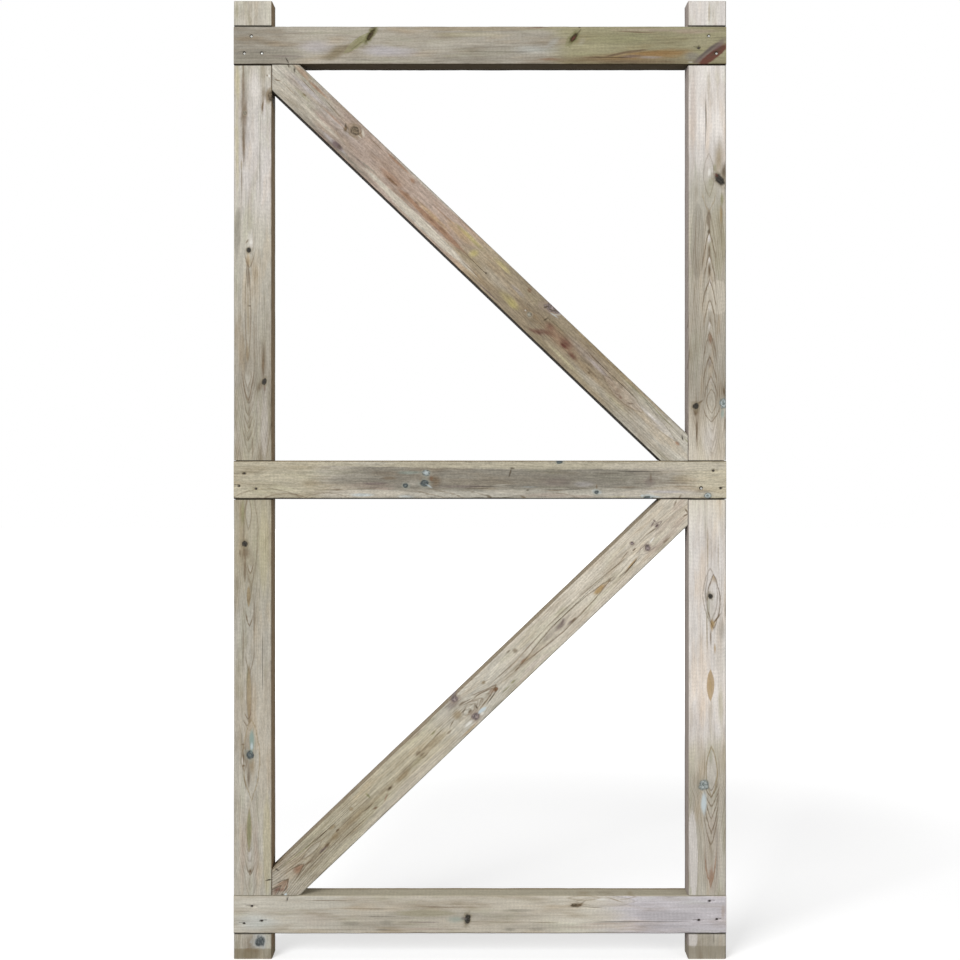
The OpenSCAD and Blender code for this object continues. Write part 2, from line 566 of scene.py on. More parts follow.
# ---------------------------------------------------------------------------------------------
# Shader graphs
# ---------------------------------------------------------------------------------------------
class Graph:
    """Writes shader nodes as plain expressions. Values may be sockets, numbers or tuples."""

    def __init__(self, tree):
        self.tree = tree

    def add(self, kind, **settings):
        made = self.tree.nodes.new(kind)
        for name, value in settings.items():
            setattr(made, name, value)
        return made

    def put(self, socket, value):
        if isinstance(value, bpy.types.NodeSocket):
            self.tree.links.new(value, socket)
        elif value is not None:
            if socket.type == "RGBA" and len(value) == 3:
                value = (*value, 1)
            socket.default_value = value

    def math(self, operation, a, b=None, c=None, clamp=False):
        made = self.add("ShaderNodeMath", operation=operation, use_clamp=clamp)
        for socket, value in zip(made.inputs, (a, b, c)):
            self.put(socket, value)
        return made.outputs[0]

    def times(self, a, b, clamp=False):
        return self.math("MULTIPLY", a, b, clamp=clamp)

    def times_plus(self, a, b, c):
        return self.math("MULTIPLY_ADD", a, b, c)

    def minus(self, a, b):
        return self.math("SUBTRACT", a, b)

    def absolute(self, a):
        return self.math("ABSOLUTE", a)

    def vector(self, operation, a, b=None, scale=None):
        made = self.add("ShaderNodeVectorMath", operation=operation)
        self.put(made.inputs[0], a)
        if b is not None:
            self.put(made.inputs[1], b)
        if scale is not None:
            self.put(made.inputs["Scale"], scale)
        return made.outputs["Value" if operation in ("LENGTH", "DISTANCE", "DOT_PRODUCT") else "Vector"]

    def scaled(self, a, scale):
        return self.vector("SCALE", a, scale=scale)

    def split(self, vector):
        made = self.add("ShaderNodeSeparateXYZ")
        self.put(made.inputs[0], vector)
        return made.outputs["X"], made.outputs["Y"], made.outputs["Z"]

    def join(self, x, y, z):
        made = self.add("ShaderNodeCombineXYZ")
        for socket, value in zip(made.inputs, (x, y, z)):
            self.put(socket, value)
        return made.outputs[0]

    def noise(self, place, stretch, detail=2.0, roughness=0.5):
        """Noise from 0 to 1 whose grain is stretch (u, d, v) in millimetres."""
        scaled = self.vector("MULTIPLY", place, tuple(1 / s for s in stretch))
        made = self.add("ShaderNodeTexNoise", noise_dimensions="3D")
        self.put(made.inputs["Vector"], scaled)
        for name, value in (("Scale", 1.0), ("Detail", detail), ("Roughness", roughness)):
            made.inputs[name].default_value = value
        return made.outputs["Fac"]

    def range(self, value, low, high, out_low=0.0, out_high=1.0, smooth=True):
        made = self.add("ShaderNodeMapRange", clamp=True)
        made.interpolation_type = "SMOOTHSTEP" if smooth else "LINEAR"
        for socket, item in zip(made.inputs, (value, low, high, out_low, out_high)):
            self.put(socket, item)
        return made.outputs[0]

    def mix(self, amount, a, b):
        made = self.add("ShaderNodeMix", data_type="RGBA", clamp_factor=True)
        self.put(made.inputs[0], amount)
        self.put(made.inputs[6], a)
        self.put(made.inputs[7], b)
        return made.outputs[2]

    def ramp(self, value, stops, mode="LINEAR"):
        """A colour ramp's colour and alpha. A stop's tone may be a number, three or four numbers."""
        made = self.add("ShaderNodeValToRGB")
        made.color_ramp.interpolation = mode
        elements = made.color_ramp.elements
        while len(elements) < len(stops):
            elements.new(0.5)
        for element, (place, tone) in zip(elements, stops):
            tone = tone if isinstance(tone, tuple) else (tone,) * 3
            element.position = place
            element.color = (*tone, 1)[:4]
        self.put(made.inputs[0], value)
        return made.outputs

    def bump(self, height, strength, distance):
        made = self.add("ShaderNodeBump")
        made.inputs["Strength"].default_value = strength
        made.inputs["Distance"].default_value = distance
        self.put(made.inputs["Height"], height)
        return made.outputs[0]

    def in_spot(self, given, away):
        """Turns and stretches a distance from a spot's centre, so that the spot's edge lies at 1."""
        turned = self.add("ShaderNodeVectorRotate", rotation_type="Y_AXIS")
        self.put(turned.inputs["Vector"], away)
        self.put(turned.inputs["Angle"], given["Turn"])
        return self.vector("MULTIPLY", turned.outputs[0], given["Stretch"])

    def show(self, surface, kind="ShaderNodeOutputMaterial"):
        self.put(self.add(kind).inputs["Surface"], surface)

    def call(self, group, **values):
        made = self.add("ShaderNodeGroup", node_tree=group)
        for name, value in values.items():
            self.put(made.inputs[name.replace("_", " ")], value)
        return made.outputs


def new_material(name):
    """A material without nodes, and the Graph that writes them."""
    material = bpy.data.materials.new(name)
    material.use_nodes = True
    material.node_tree.nodes.clear()
    return material, Graph(material.node_tree)


def new_group(name, inputs, outputs):
    tree = bpy.data.node_groups.new(name, "ShaderNodeTree")
    for side, sockets in (("INPUT", inputs), ("OUTPUT", outputs)):
        for label, kind in sockets.items():
            tree.interface.new_socket(label, in_out=side, socket_type="NodeSocket" + kind)
    graph = Graph(tree)
    source = graph.add("NodeGroupInput").outputs
    target = graph.add("NodeGroupOutput").inputs
    return graph, source, target


def blot_group():
    """A soft-edged stain: an ellipsoid in the timber's own millimetres, with a ragged, grain-drawn edge."""
    graph, given, out = new_group(
        "blot",
        {"Colour": "Color", "Place": "Vector", "Centre": "Vector", "Stretch": "Vector", "Turn": "Float",
         "Ragged": "Float", "Jag": "Float", "Soft": "Float", "Tone": "Color", "Amount": "Float"},
        {"Colour": "Color"},
    )
    away = graph.vector("SUBTRACT", given["Place"], given["Centre"])
    rho = graph.vector("LENGTH", graph.in_spot(given, away))
    rho = graph.times_plus(given["Ragged"], given["Jag"], rho)
    inner = graph.minus(1.0, given["Soft"])
    mask = graph.times(graph.range(rho, 1.0, inner), given["Amount"])
    graph.put(out["Colour"], graph.mix(mask, given["Colour"], given["Tone"]))
    return graph.tree


def lens_group():
    """Two lines that bow apart and meet in points, and a stain between them."""
    graph, given, out = new_group(
        "lens",
        {"Colour": "Color", "Place": "Vector", "Centre": "Vector", "Stretch": "Vector", "Turn": "Float",
         "Ragged": "Float", "Thin": "Float", "Line": "Color", "Dark": "Float", "Fill": "Color",
         "Amount": "Float", "Tips": "Float", "Half": "Float"},
        {"Colour": "Color"},
    )
    away = graph.vector("SUBTRACT", given["Place"], given["Centre"])
    along, through, across = graph.split(graph.in_spot(given, away))
    bow = graph.times_plus(along, along, graph.absolute(across))
    bow = graph.times_plus(given["Ragged"], 0.5, bow)
    whole = graph.minus(1.0, graph.absolute(given["Half"]))
    kept = graph.range(graph.times_plus(along, given["Half"], whole), -0.1, 0.5)
    kept = graph.times(kept, graph.range(graph.absolute(through), 1.0, 0.5))
    outwards = graph.absolute(along)
    fill = graph.times(graph.range(bow, 1.05, 0.75), given["Amount"])
    tips_end = graph.math("ADD", given["Tips"], 0.4)
    fill = graph.times(fill, graph.range(outwards, given["Tips"], tips_end))
    colour = graph.mix(graph.times(fill, kept), given["Colour"], given["Fill"])
    away = graph.absolute(graph.minus(bow, 1.0))
    line = graph.times(graph.range(away, given["Thin"], 0.0), given["Dark"])
    line = graph.times(line, graph.range(outwards, 1.25, 0.9))
    graph.put(out["Colour"], graph.mix(graph.times(line, kept), colour, given["Line"]))
    return graph.tree


def knot_group():
    """A knot: a halo in the wood round it, a dark rim, rings and a core, and the mask of what is knot."""
    graph, given, out = new_group(
        "knot",
        {"Colour": "Color", "Place": "Vector", "Centre": "Vector", "Lean": "Vector", "Stretch": "Vector",
         "Turn": "Float", "Rough": "Float", "Grit": "Float", "Core": "Color", "Body": "Color", "Rim": "Color",
         "Halo": "Color", "Halo Amount": "Float"},
        {"Colour": "Color", "Knot": "Float", "Rings": "Float"},
    )
    depth = graph.split(given["Place"])[1]
    lean = graph.scaled(given["Lean"], depth)
    away = graph.vector("SUBTRACT", graph.vector("SUBTRACT", given["Place"], given["Centre"]), lean)
    rho = graph.vector("LENGTH", graph.in_spot(given, away))
    rho = graph.times_plus(given["Rough"], 1.0, rho)
    halo_rho = graph.times_plus(given["Rough"], 1.2, rho)
    halo = graph.times(graph.range(halo_rho, 2.1, 0.9), given["Halo Amount"])
    colour = graph.mix(halo, given["Colour"], given["Halo"])
    inside = graph.range(rho, 1.2, 0.72)
    face = graph.mix(graph.range(rho, 0.12, 0.5), given["Core"], given["Body"])
    rings = graph.math("SINE", graph.times(rho, 17.0))
    face = graph.mix(graph.range(rho, 0.6, 0.9), face, given["Rim"])
    shade = graph.times_plus(rings, 0.12, given["Grit"])
    face = graph.scaled(face, shade)
    graph.put(out["Colour"], graph.mix(inside, colour, face))
    graph.put(out["Knot"], inside)
    graph.put(out["Rings"], graph.times(rings, inside))
    return graph.tree


HEART_V, HEART_D, HEART_RINGS = 120.0, 80.0, 40.0  # what the whole of a ramp's channel stands for
SWAY, DRIFT, SHIVER = 7.0, 5.0, 1.8  # how far noise moves the heart, and the rings in long and short waves


def ring_lines(graph, timber, place, drift, shiver):
    """Growth rings: cones round a heart that wanders through or behind the timber, as (count, contrast).

    Each row of timber.heart is (u, v, d, rings, contrast). Where the rings column falls or climbs along the
    timber, rings run out of the face in points, since a tree tapers.
    """
    u, d, v = graph.split(place)
    stops = [
        (row_u / timber.length,
         (row_v / HEART_V / 2 + 0.5, row_d / HEART_D, rings / HEART_RINGS + 0.5, contrast))
        for row_u, row_v, row_d, rings, contrast in timber.heart
    ]
    path = graph.ramp(graph.times(u, 1 / timber.length), stops)
    heart_v, heart_d, rings = graph.split(path[0])
    for knot in timber.knots:
        away = graph.vector("SUBTRACT", place, (knot.u, 0, knot.v))
        near = graph.vector("MULTIPLY", away, (1 / knot.reach[0], 0.012, 1 / knot.reach[1]))
        rho = graph.vector("LENGTH", near)
        hill = graph.math("EXPONENT", graph.times(graph.times(rho, rho), -1.0))
        pull = graph.times(hill, graph.split(away)[2])
        v = graph.times_plus(pull, -knot.flow, v)
    across = graph.minus(v, graph.times_plus(heart_v, 2 * HEART_V, -HEART_V))
    across = graph.times_plus(drift, SWAY, across)
    through = graph.minus(d, graph.times(heart_d, HEART_D))
    radius = graph.vector("LENGTH", graph.join(across, through, 0.0))
    radius = graph.times_plus(drift, DRIFT, radius)
    radius = graph.times_plus(shiver, SHIVER, radius)
    count = graph.times_plus(rings, HEART_RINGS, -HEART_RINGS / 2)
    count = graph.times_plus(radius, 1 / timber.ring, count)
    return (graph.times(count, -1.0) if timber.inward else count), path[1]


def after(graph, place, colour):
    """The same place, but not worked out before the colour is, or long chains of stains fill the stack."""
    made = graph.add("ShaderNodeVectorMath", operation="MULTIPLY_ADD")
    for socket, value in zip(made.inputs, (colour, (1e-9, 1e-9, 1e-9), place)):
        graph.put(socket, value)
    return made.outputs[0]


def stain(graph, blot, colour, place, ragged, spot):
    """Lays one Blot over the colour."""
    return graph.call(
        blot, Colour=colour, Place=after(graph, place, colour), Centre=(spot.u, spot.d, spot.v),
        Stretch=(2 / spot.length, 1 / spot.deep, 2 / spot.width), Turn=math.radians(spot.turn),
        Ragged=ragged, Jag=min(0.9, JAG / spot.width), Soft=spot.soft, Tone=TONES[spot.tone],
        Amount=spot.amount,
    )["Colour"]


def draw_lens(graph, group, colour, place, ragged, lens):
    """Lays one Lens over the colour."""
    return graph.call(
        group, Colour=colour, Place=after(graph, place, colour), Centre=(lens.u, 0, lens.v),
        Stretch=(2 / lens.length, 0.03, 2 / lens.width), Turn=math.radians(lens.turn), Ragged=ragged,
        Thin=LINE_W / lens.width, Line=TONES[lens.line], Dark=lens.dark, Fill=TONES[lens.fill],
        Amount=lens.amount, Tips=lens.tips, Half=lens.half,
    )["Colour"]


def back_stains(timber):
    """Stains on the back, which nobody has looked at closely: any tone, anywhere."""
    rng = np.random.default_rng(900 + timber.seed)
    tones = ("cream", "olive", "umber", "blush", "slate", "linen", "tan")
    return [
        Blot(rng.uniform(0, timber.length), rng.uniform(-0.5, 0.5) * timber.width, rng.uniform(60, 320),
             rng.uniform(5, 34), tones[n % len(tones)], rng.uniform(0.2, 0.55), rng.uniform(-3, 3), 0.8,
             timber.thick, 28)
        for n in range(12)
    ]


# Noises: grain (u, d, v) in millimetres, detail, roughness, how far off it is taken, and whether it is
# centred on 0.
NOISES = {
    "drift": ((190, 45, 30), 3.0, 0.45, 0, True),
    "shiver": ((38, 8, 4.5), 3.0, 0.55, 0, True),
    "ragged": ((19, 7, 3.8), 5.0, 0.66, 0, True),
    "rough": ((8, 9, 6), 3.0, 0.55, 0, True),
    "lanes": ((330, 10, 5.0), 4.0, 0.6, 0, False),
    "fibre": ((55, 1.2, 1.0), 3.0, 0.6, 0, False),
    "clouds": ((95, 34, 17), 5.0, 0.58, 0, False),
    "tints": ((120, 38, 22), 4.0, 0.5, 300.0, False),
    "mottle": ((20, 7, 3.4), 5.0, 0.7, 600.0, False),
    "dashes": ((34, 2.2, 1.5), 2.0, 0.5, 0, False),
    "specks": ((3.4, 2.6, 2.2), 2.0, 0.5, 0, False),
}
SEED_STEP = (371.0, 53.0, 97.0)  # from one timber's place in the noises to the next one's
CLOUD_STOPS = [(0.30, (0.78, 0.74, 0.68)), (0.42, (0.94, 0.92, 0.90)), (0.52, 1.01), (0.68, 1.10)]
TINT_STOPS = [
    (0.30, (1.03, 0.97, 0.90)), (0.44, 1.0), (0.54, 1.0), (0.64, (0.97, 0.99, 0.95)),
    (0.77, (1.02, 0.99, 1.03)),
]
LATE_STOPS = [(0.0, 0.0), (0.35, 0.06), (0.72, 0.55), (0.90, 1.0), (1.0, 0.0)]  # over one growth ring
LATE_TONE = (0.42, 0.36, 0.29)  # what late wood, arrises (worn, and painted shade) and end grain multiply the colour by
WEAR_AND_SHADE_TONE = (0.16, 0.13, 0.10)
END_TONE = (0.70, 0.64, 0.55)
# the painted shade in cracks, skew nails' slots and joint gaps
CREVICE_TONE = (0.035, 0.028, 0.02)
ZONE_WANDER = 120.0  # how far a zone's end wanders along the timber
RIPPLE, RIPPLE_PITCH = 0.03, 0.86  # the planer's marks: strength, and radians per millimetre
SIDE_START, SIDE_WHOLE = 1.8, 0.8  # before the edge, where a side's own tone and painted shade set in
BACK_START, BACK_WHOLE = 14, 5  # before the back, where its tone there, darker with painted shade, does
KNOT_SHINE = 0.22  # how much smoother knots are
BRIGHT_HOLE = (7.4, 7.2, "pit", 0.93, 0, 0.35)  # a nail hole's shadow: the values of a Blot
DARK_HOLE = (8.5, 4.4, "pit", 0.85, 0, 0.7)


def wood_fields(graph, timber):
    """The place in the timber, in millimetres, and the noises there."""
    source = graph.add("ShaderNodeTexCoord").outputs["Object"]
    place = graph.scaled(source, 1 / MM)
    u, d, v = graph.split(place)
    own = graph.vector("ADD", place, tuple(timber.seed * step for step in SEED_STEP))
    fields = SimpleNamespace(place=place, u=u, d=d, v=v)
    for name, (grain, detail, roughness, off, centred) in NOISES.items():
        where = graph.vector("ADD", own, (0, off, 0)) if off else own
        noise = graph.noise(where, grain, detail, roughness)
        setattr(fields, name, graph.minus(noise, 0.5) if centred else noise)
    return fields


def base_tone(graph, timber, at):
    """The tone along the timber, with clouds, tints and long streaks over it."""
    along = graph.times_plus(graph.minus(at.tints, 0.5), ZONE_WANDER, at.u)
    stops = [
        (zone_u / timber.length, tuple(channel * bright for channel in TONES[tone]))
        for zone_u, tone, bright in timber.zones
    ]
    colour = graph.ramp(graph.times(along, 1 / timber.length), stops, "EASE")[0]
    colour = graph.vector("MULTIPLY", colour, graph.ramp(at.clouds, CLOUD_STOPS)[0])
    colour = graph.vector("MULTIPLY", colour, graph.ramp(at.tints, TINT_STOPS)[0])
    return graph.scaled(colour, graph.range(at.lanes, 0.28, 0.72, 1 - timber.streaks, 1 + timber.streaks))


def side_tones_and_shade(graph, timber, at, colour):
    """The narrow sides: near the front one tone, near the back another. They are partly stain and partly
    painted shade, which darkens undersides and the far edges.
    """
    edge = timber.width / 2
    side = graph.range(graph.absolute(at.v), edge - SIDE_START, edge - SIDE_WHOLE)
    depth = graph.times_plus(at.ragged, 5.0, at.d)
    far = graph.range(depth, timber.thick - BACK_START, timber.thick - BACK_WHOLE)
    for sign, (near_tone, far_tone) in zip((-1, 1), timber.sides):
        here = graph.times(side, graph.range(graph.times(at.v, sign), 0, 1))
        tone = graph.mix(far, TONES[near_tone], TONES[far_tone])
        colour = graph.mix(graph.times(here, SIDE_STAIN_AND_SHADE), colour, tone)
    return colour


def draw_rings(graph, timber, at, colour):
    """Darkens the late wood of each growth ring, which differs from year to year."""
    count, contrast = ring_lines(graph, timber, at.place, at.drift, at.shiver)
    year = graph.add("ShaderNodeTexWhiteNoise", noise_dimensions="1D")
    graph.put(year.inputs["W"], graph.math("FLOOR", count))
    late = graph.ramp(graph.math("FRACT", count), LATE_STOPS)[0]
    vary = graph.times_plus(year.outputs["Value"], 0.8, 0.5)
    vary = graph.times(vary, graph.range(at.clouds, 0.3, 0.62, 1.25, 0.7))
    line = graph.times(graph.times(late, vary), contrast, clamp=True)
    return graph.mix(line, colour, graph.vector("MULTIPLY", colour, LATE_TONE)), late


def add_grain(graph, timber, at, colour):
    """Fibres, short dark pores, mottling, specks and the planer's faint ripple."""
    colour = graph.scaled(colour, graph.range(at.fibre, 0.25, 0.75, 0.92, 1.07))
    pores = graph.range(at.dashes, 0.60, 0.72, 1.0, 0.86)
    colour = graph.scaled(colour, pores)
    blotchy = graph.range(at.mottle, 0.32, 0.68, 1 - timber.mottle, 1 + timber.mottle)
    colour = graph.scaled(colour, blotchy)
    speckle = 0.035 + 0.4 * timber.mottle
    colour = graph.scaled(colour, graph.range(at.specks, 0.3, 0.7, 1 - speckle, 1 + speckle))
    ripple = graph.math("SINE", graph.times_plus(at.u, RIPPLE_PITCH, graph.times(at.tints, 9.0)))
    ripple = graph.times(ripple, graph.range(at.clouds, 0.45, 0.6))
    return graph.scaled(colour, graph.times_plus(ripple, RIPPLE, 1.0)), pores, ripple


def draw_knots(graph, timber, at, colour, knot_tree):
    """Lays the knots over the colour, and gives the mask of what is knot and the knots' own rings."""
    grit = graph.range(at.specks, 0.3, 0.7, 0.6, 1.5)
    knot_mask, knot_rings = 0.0, 0.0
    for knot in timber.knots:
        core, body, rim, halo, amount = KNOT_LOOKS[knot.look]
        made = graph.call(
            knot_tree, Colour=colour, Place=at.place, Centre=(knot.u, 0, knot.v),
            Lean=(knot.lean[0] / timber.thick, 0, knot.lean[1] / timber.thick),
            Stretch=(2 / knot.length, 0, 2 / knot.width), Turn=math.radians(knot.turn), Rough=at.rough,
            Grit=grit, Core=core, Body=body, Rim=rim, Halo=halo, Halo_Amount=amount,
        )
        colour = made["Colour"]
        knot_mask = graph.math("MAXIMUM", knot_mask, made["Knot"])
        knot_rings = graph.math("ADD", knot_rings, made["Rings"])
    return colour, knot_mask, knot_rings


def soak_end(graph, timber, at, colour):
    """The damp lower end."""
    wet_u, wet_tone, amount = timber.wet
    damp = graph.range(graph.times_plus(at.rough, 3.0, at.u), wet_u - 1.5, wet_u + 1.5)
    patchy = graph.range(at.clouds, 0.35, 0.65, amount, 0.75 * amount)
    soaked = graph.scaled(TONES[wet_tone], graph.range(at.fibre, 0.25, 0.75, 0.85, 1.15))
    return graph.mix(graph.times(damp, patchy), colour, soaked)


def darken_edges(graph, timber, at, colour, blot):
    """Painted shadows in nail holes, arrises darkened by wear and painted shade, end grain, and painted shade
    in crevices and joint gaps.
    """
    # a painted shadow round each nail's head
    for nail_u, nail_v, bright in timber.nails:
        hole = Blot(nail_u, nail_v, *(BRIGHT_HOLE if bright else DARK_HOLE))
        colour = stain(graph, blot, colour, at.place, at.rough, hole)
    crevice_shade = graph.add("ShaderNodeAttribute", attribute_name="crevice_shade").outputs["Fac"]
    wear_and_shade = graph.add("ShaderNodeAttribute", attribute_name="wear_and_shade").outputs["Fac"]
    # arrises darkened for wear and as painted shade
    colour = graph.mix(wear_and_shade, colour, graph.vector("MULTIPLY", colour, WEAR_AND_SHADE_TONE))
    middle = graph.absolute(graph.minus(at.u, timber.length / 2))
    end = graph.range(middle, timber.length / 2 - 0.5, timber.length / 2 - 0.2)
    colour = graph.mix(end, colour, graph.vector("MULTIPLY", colour, END_TONE))
    # painted shade in crevices and joint gaps
    return graph.mix(graph.times(crevice_shade, 0.9), colour, CREVICE_TONE)


def wood_material(timber, blot, lens_tree, knot_tree):
    material, graph = new_material(timber.node + "_wood")
    at = wood_fields(graph, timber)
    colour = base_tone(graph, timber, at)
    wandering = graph.vector("ADD", at.place, graph.join(0.0, 0.0, graph.times(at.drift, 5.0)))
    for spot in [*timber.blots, *back_stains(timber)]:
        colour = stain(graph, blot, colour, wandering, at.ragged, spot)
    # the sides' tones: stain, and painted shade on undersides and towards the back
    colour = side_tones_and_shade(graph, timber, at, colour)
    colour, late = draw_rings(graph, timber, at, colour)
    for lens in timber.lenses:
        colour = draw_lens(graph, lens_tree, colour, wandering, at.ragged, lens)
    colour, pores, ripple = add_grain(graph, timber, at, colour)
    colour, knot_mask, knot_rings = draw_knots(graph, timber, at, colour, knot_tree)
    for spot in timber.marks:
        colour = stain(graph, blot, colour, at.place, at.ragged, spot)
    if timber.wet:
        colour = soak_end(graph, timber, at, colour)
    colour = darken_edges(graph, timber, at, colour, blot)

    height = graph.times(at.fibre, 0.4)
    for value, share in ((late, 0.25), (knot_rings, 0.15), (ripple, 0.06), (pores, 0.4)):
        height = graph.times_plus(value, share, height)
    bump = graph.bump(height, 0.5, 0.0005)
    rough_grain = graph.range(at.fibre, 0.2, 0.8, 0.90, 0.76)
    shader = graph.add("ShaderNodeBsdfPrincipled")
    graph.put(shader.inputs["Base Color"], colour)
    graph.put(shader.inputs["Roughness"], graph.times_plus(knot_mask, -KNOT_SHINE, rough_grain))
    graph.put(shader.inputs["Normal"], bump)
    shader.inputs["Specular IOR Level"].default_value = 0.08
    graph.show(shader.outputs[0])
    return material


def steel_material(name, clean, rust, rust_share):
    """Nail steel: zinc or bare metal showing between patches of rust or dirt."""
    material, graph = new_material(name)
    source = graph.add("ShaderNodeTexCoord").outputs["Object"]
    place = graph.scaled(source, 1 / MM)
    blotches = graph.noise(place, (2.2, 2.2, 2.2), 3.0)
    rusty = graph.range(blotches, 0.62 - rust_share, 0.74 - rust_share)
    bump = graph.bump(blotches, 0.4, 0.0003)
    shader = graph.add("ShaderNodeBsdfPrincipled")
    graph.put(shader.inputs["Base Color"], graph.mix(rusty, clean, rust))
    graph.put(shader.inputs["Roughness"], graph.range(blotches, 0.3, 0.7, 0.4, 0.75))
    graph.put(shader.inputs["Metallic"], graph.times_plus(rusty, -0.7, 0.7))
    graph.put(shader.inputs["Normal"], bump)
    graph.show(shader.outputs[0])
    return material


# A nail's head in profile: share of its radius, and how far below its top
HEAD_PROFILE = [(0.0, 0.10), (0.42, 0.0), (0.8, 0.05), (1.0, 0.35), (1.0, 1.2), (0.0, 1.2)]
HEAD_SIDES = 20
# Steel's clean tone, its rust's tone, and how far the rust spreads
BRIGHT_STEEL = (0.40, 0.40, 0.38), (0.40, 0.36, 0.30), 0.06
# A sunk head's near-black tones are partly rust and partly painted shade from its deep hole.
DARK_STEEL = (0.05, 0.045, 0.04), (0.035, 0.025, 0.02), 0.35


def nail_head(matrix, place, sunk, head_radius, first):
    """One head's points and faces: a chamfered disc with a shallow dimple. Its points count from first."""
    verts, rings = [], []
    for share, sink in HEAD_PROFILE:
        radius = share * head_radius
        count = 1 if share == 0 else HEAD_SIDES
        rings.append([first + len(verts) + n for n in range(count)])
        for n in range(count):
            a = 2 * math.pi * n / HEAD_SIDES
            u, v = place[0] + radius * math.cos(a), place[1] + radius * math.sin(a)
            verts.append(matrix @ (Vector((u, sunk + sink, v)) * MM))
    faces = []
    for low, high in zip(rings, rings[1:]):
        for n in range(HEAD_SIDES):
            m = (n + 1) % HEAD_SIDES
            if len(low) == 1:
                faces.append((low[0], high[m], high[n]))
            elif len(high) == 1:
                faces.append((low[n], low[m], high[0]))
            else:
                faces.append((low[n], low[m], high[m], high[n]))
    return verts, faces


def nail_heads(timbers):
    """All nail heads as one mesh, each sunk in its hole."""
    verts, faces, looks = [], [], []
    for timber in timbers:
        for nail_u, nail_v, bright in timber.nails:
            sunk, radius = (BRIGHT_SUNK, BRIGHT_HEAD_R) if bright else (DARK_SUNK, DARK_HEAD_R)
            off_u, off_v = OFF_CENTRE if bright else (0, 0)
            place = nail_u + off_u, nail_v + off_v
            points, sides = nail_head(timber.matrix(), place, sunk, radius, len(verts))
            verts += points
            faces += sides
            looks += [0 if bright else 1] * len(sides)
    mesh = bpy.data.meshes.new("nail_heads")
    mesh.from_pydata(verts, [], faces)
    mesh.validate()
    mesh.polygons.foreach_set("material_index", looks)
    mesh.shade_smooth()
    mesh.set_sharp_from_angle(angle=math.radians(40))
    mesh.materials.append(steel_material("nail_bright", *BRIGHT_STEEL))
    mesh.materials.append(steel_material("nail_rusted_and_shaded", *DARK_STEEL))
    return mesh


# ---------------------------------------------------------------------------------------------
# The seven timbers
# ---------------------------------------------------------------------------------------------
RAILS = ("bottom_rail", "middle_rail", "top_rail")


def stile(node, seed, **looks):
    """A stile's u runs down from its top, so that v runs to the right, as seen from the front."""
    lo, hi = box_mm(node)
    laps = []
    for rail_node in RAILS:
        rail_lo, rail_hi = box_mm(rail_node)
        above, below = HOUSING_GAPS[rail_node]
        # a housing's painted shade grows with its gap
        gap_shades = above / OPEN_GAP, below / OPEN_GAP
        laps.append((hi[2] - rail_hi[2] - above, hi[2] - rail_lo[2] + below, "front", *gap_shades))
    return Timber(node, ((lo[0] + hi[0]) / 2, lo[1], hi[2]), (0, 0, -1), hi[2] - lo[2], hi[0] - lo[0],
                  hi[1] - lo[1], seed, laps=laps, **looks)


def rail(node, seed, **looks):
    """A rail's u runs to the right and v runs up."""
    lo, hi = box_mm(node)
    left_lo, left_hi = box_mm("hanging_stile")
    lap = left_hi[0] - left_lo[0]
    length = hi[0] - lo[0]
    above, below = HOUSING_GAPS[node]
    # a housing's painted shade grows with its gap
    gap_shades = above / OPEN_GAP, below / OPEN_GAP
    laps = [(0.0, lap, "back", *gap_shades), (length - lap, length, "back", *gap_shades)]
    return Timber(node, (lo[0], lo[1], (lo[2] + hi[2]) / 2), (1, 0, 0), length, hi[2] - lo[2],
                  hi[1] - lo[1], seed, laps=laps, **looks)


def brace(node, seed, rising, **looks):
    """A brace's u runs to the right, from corner to corner of its bay."""
    lo, hi = box_mm(node)
    rail_lo, rail_hi = box_mm("middle_rail")
    across, up = hi[0] - lo[0], hi[2] - lo[2]
    length = math.hypot(across, up)
    slope = up / across
    along = (across / length, 0, (up if rising else -up) / length)
    start = (lo[0], lo[1], lo[2] if rising else hi[2])
    mitre = (1 / slope, slope) if rising else (slope, 1 / slope)
    width = rail_hi[2] - rail_lo[2]
    return Timber(node, start, along, length, width, hi[1] - lo[1], seed, mitre=mitre, **looks)


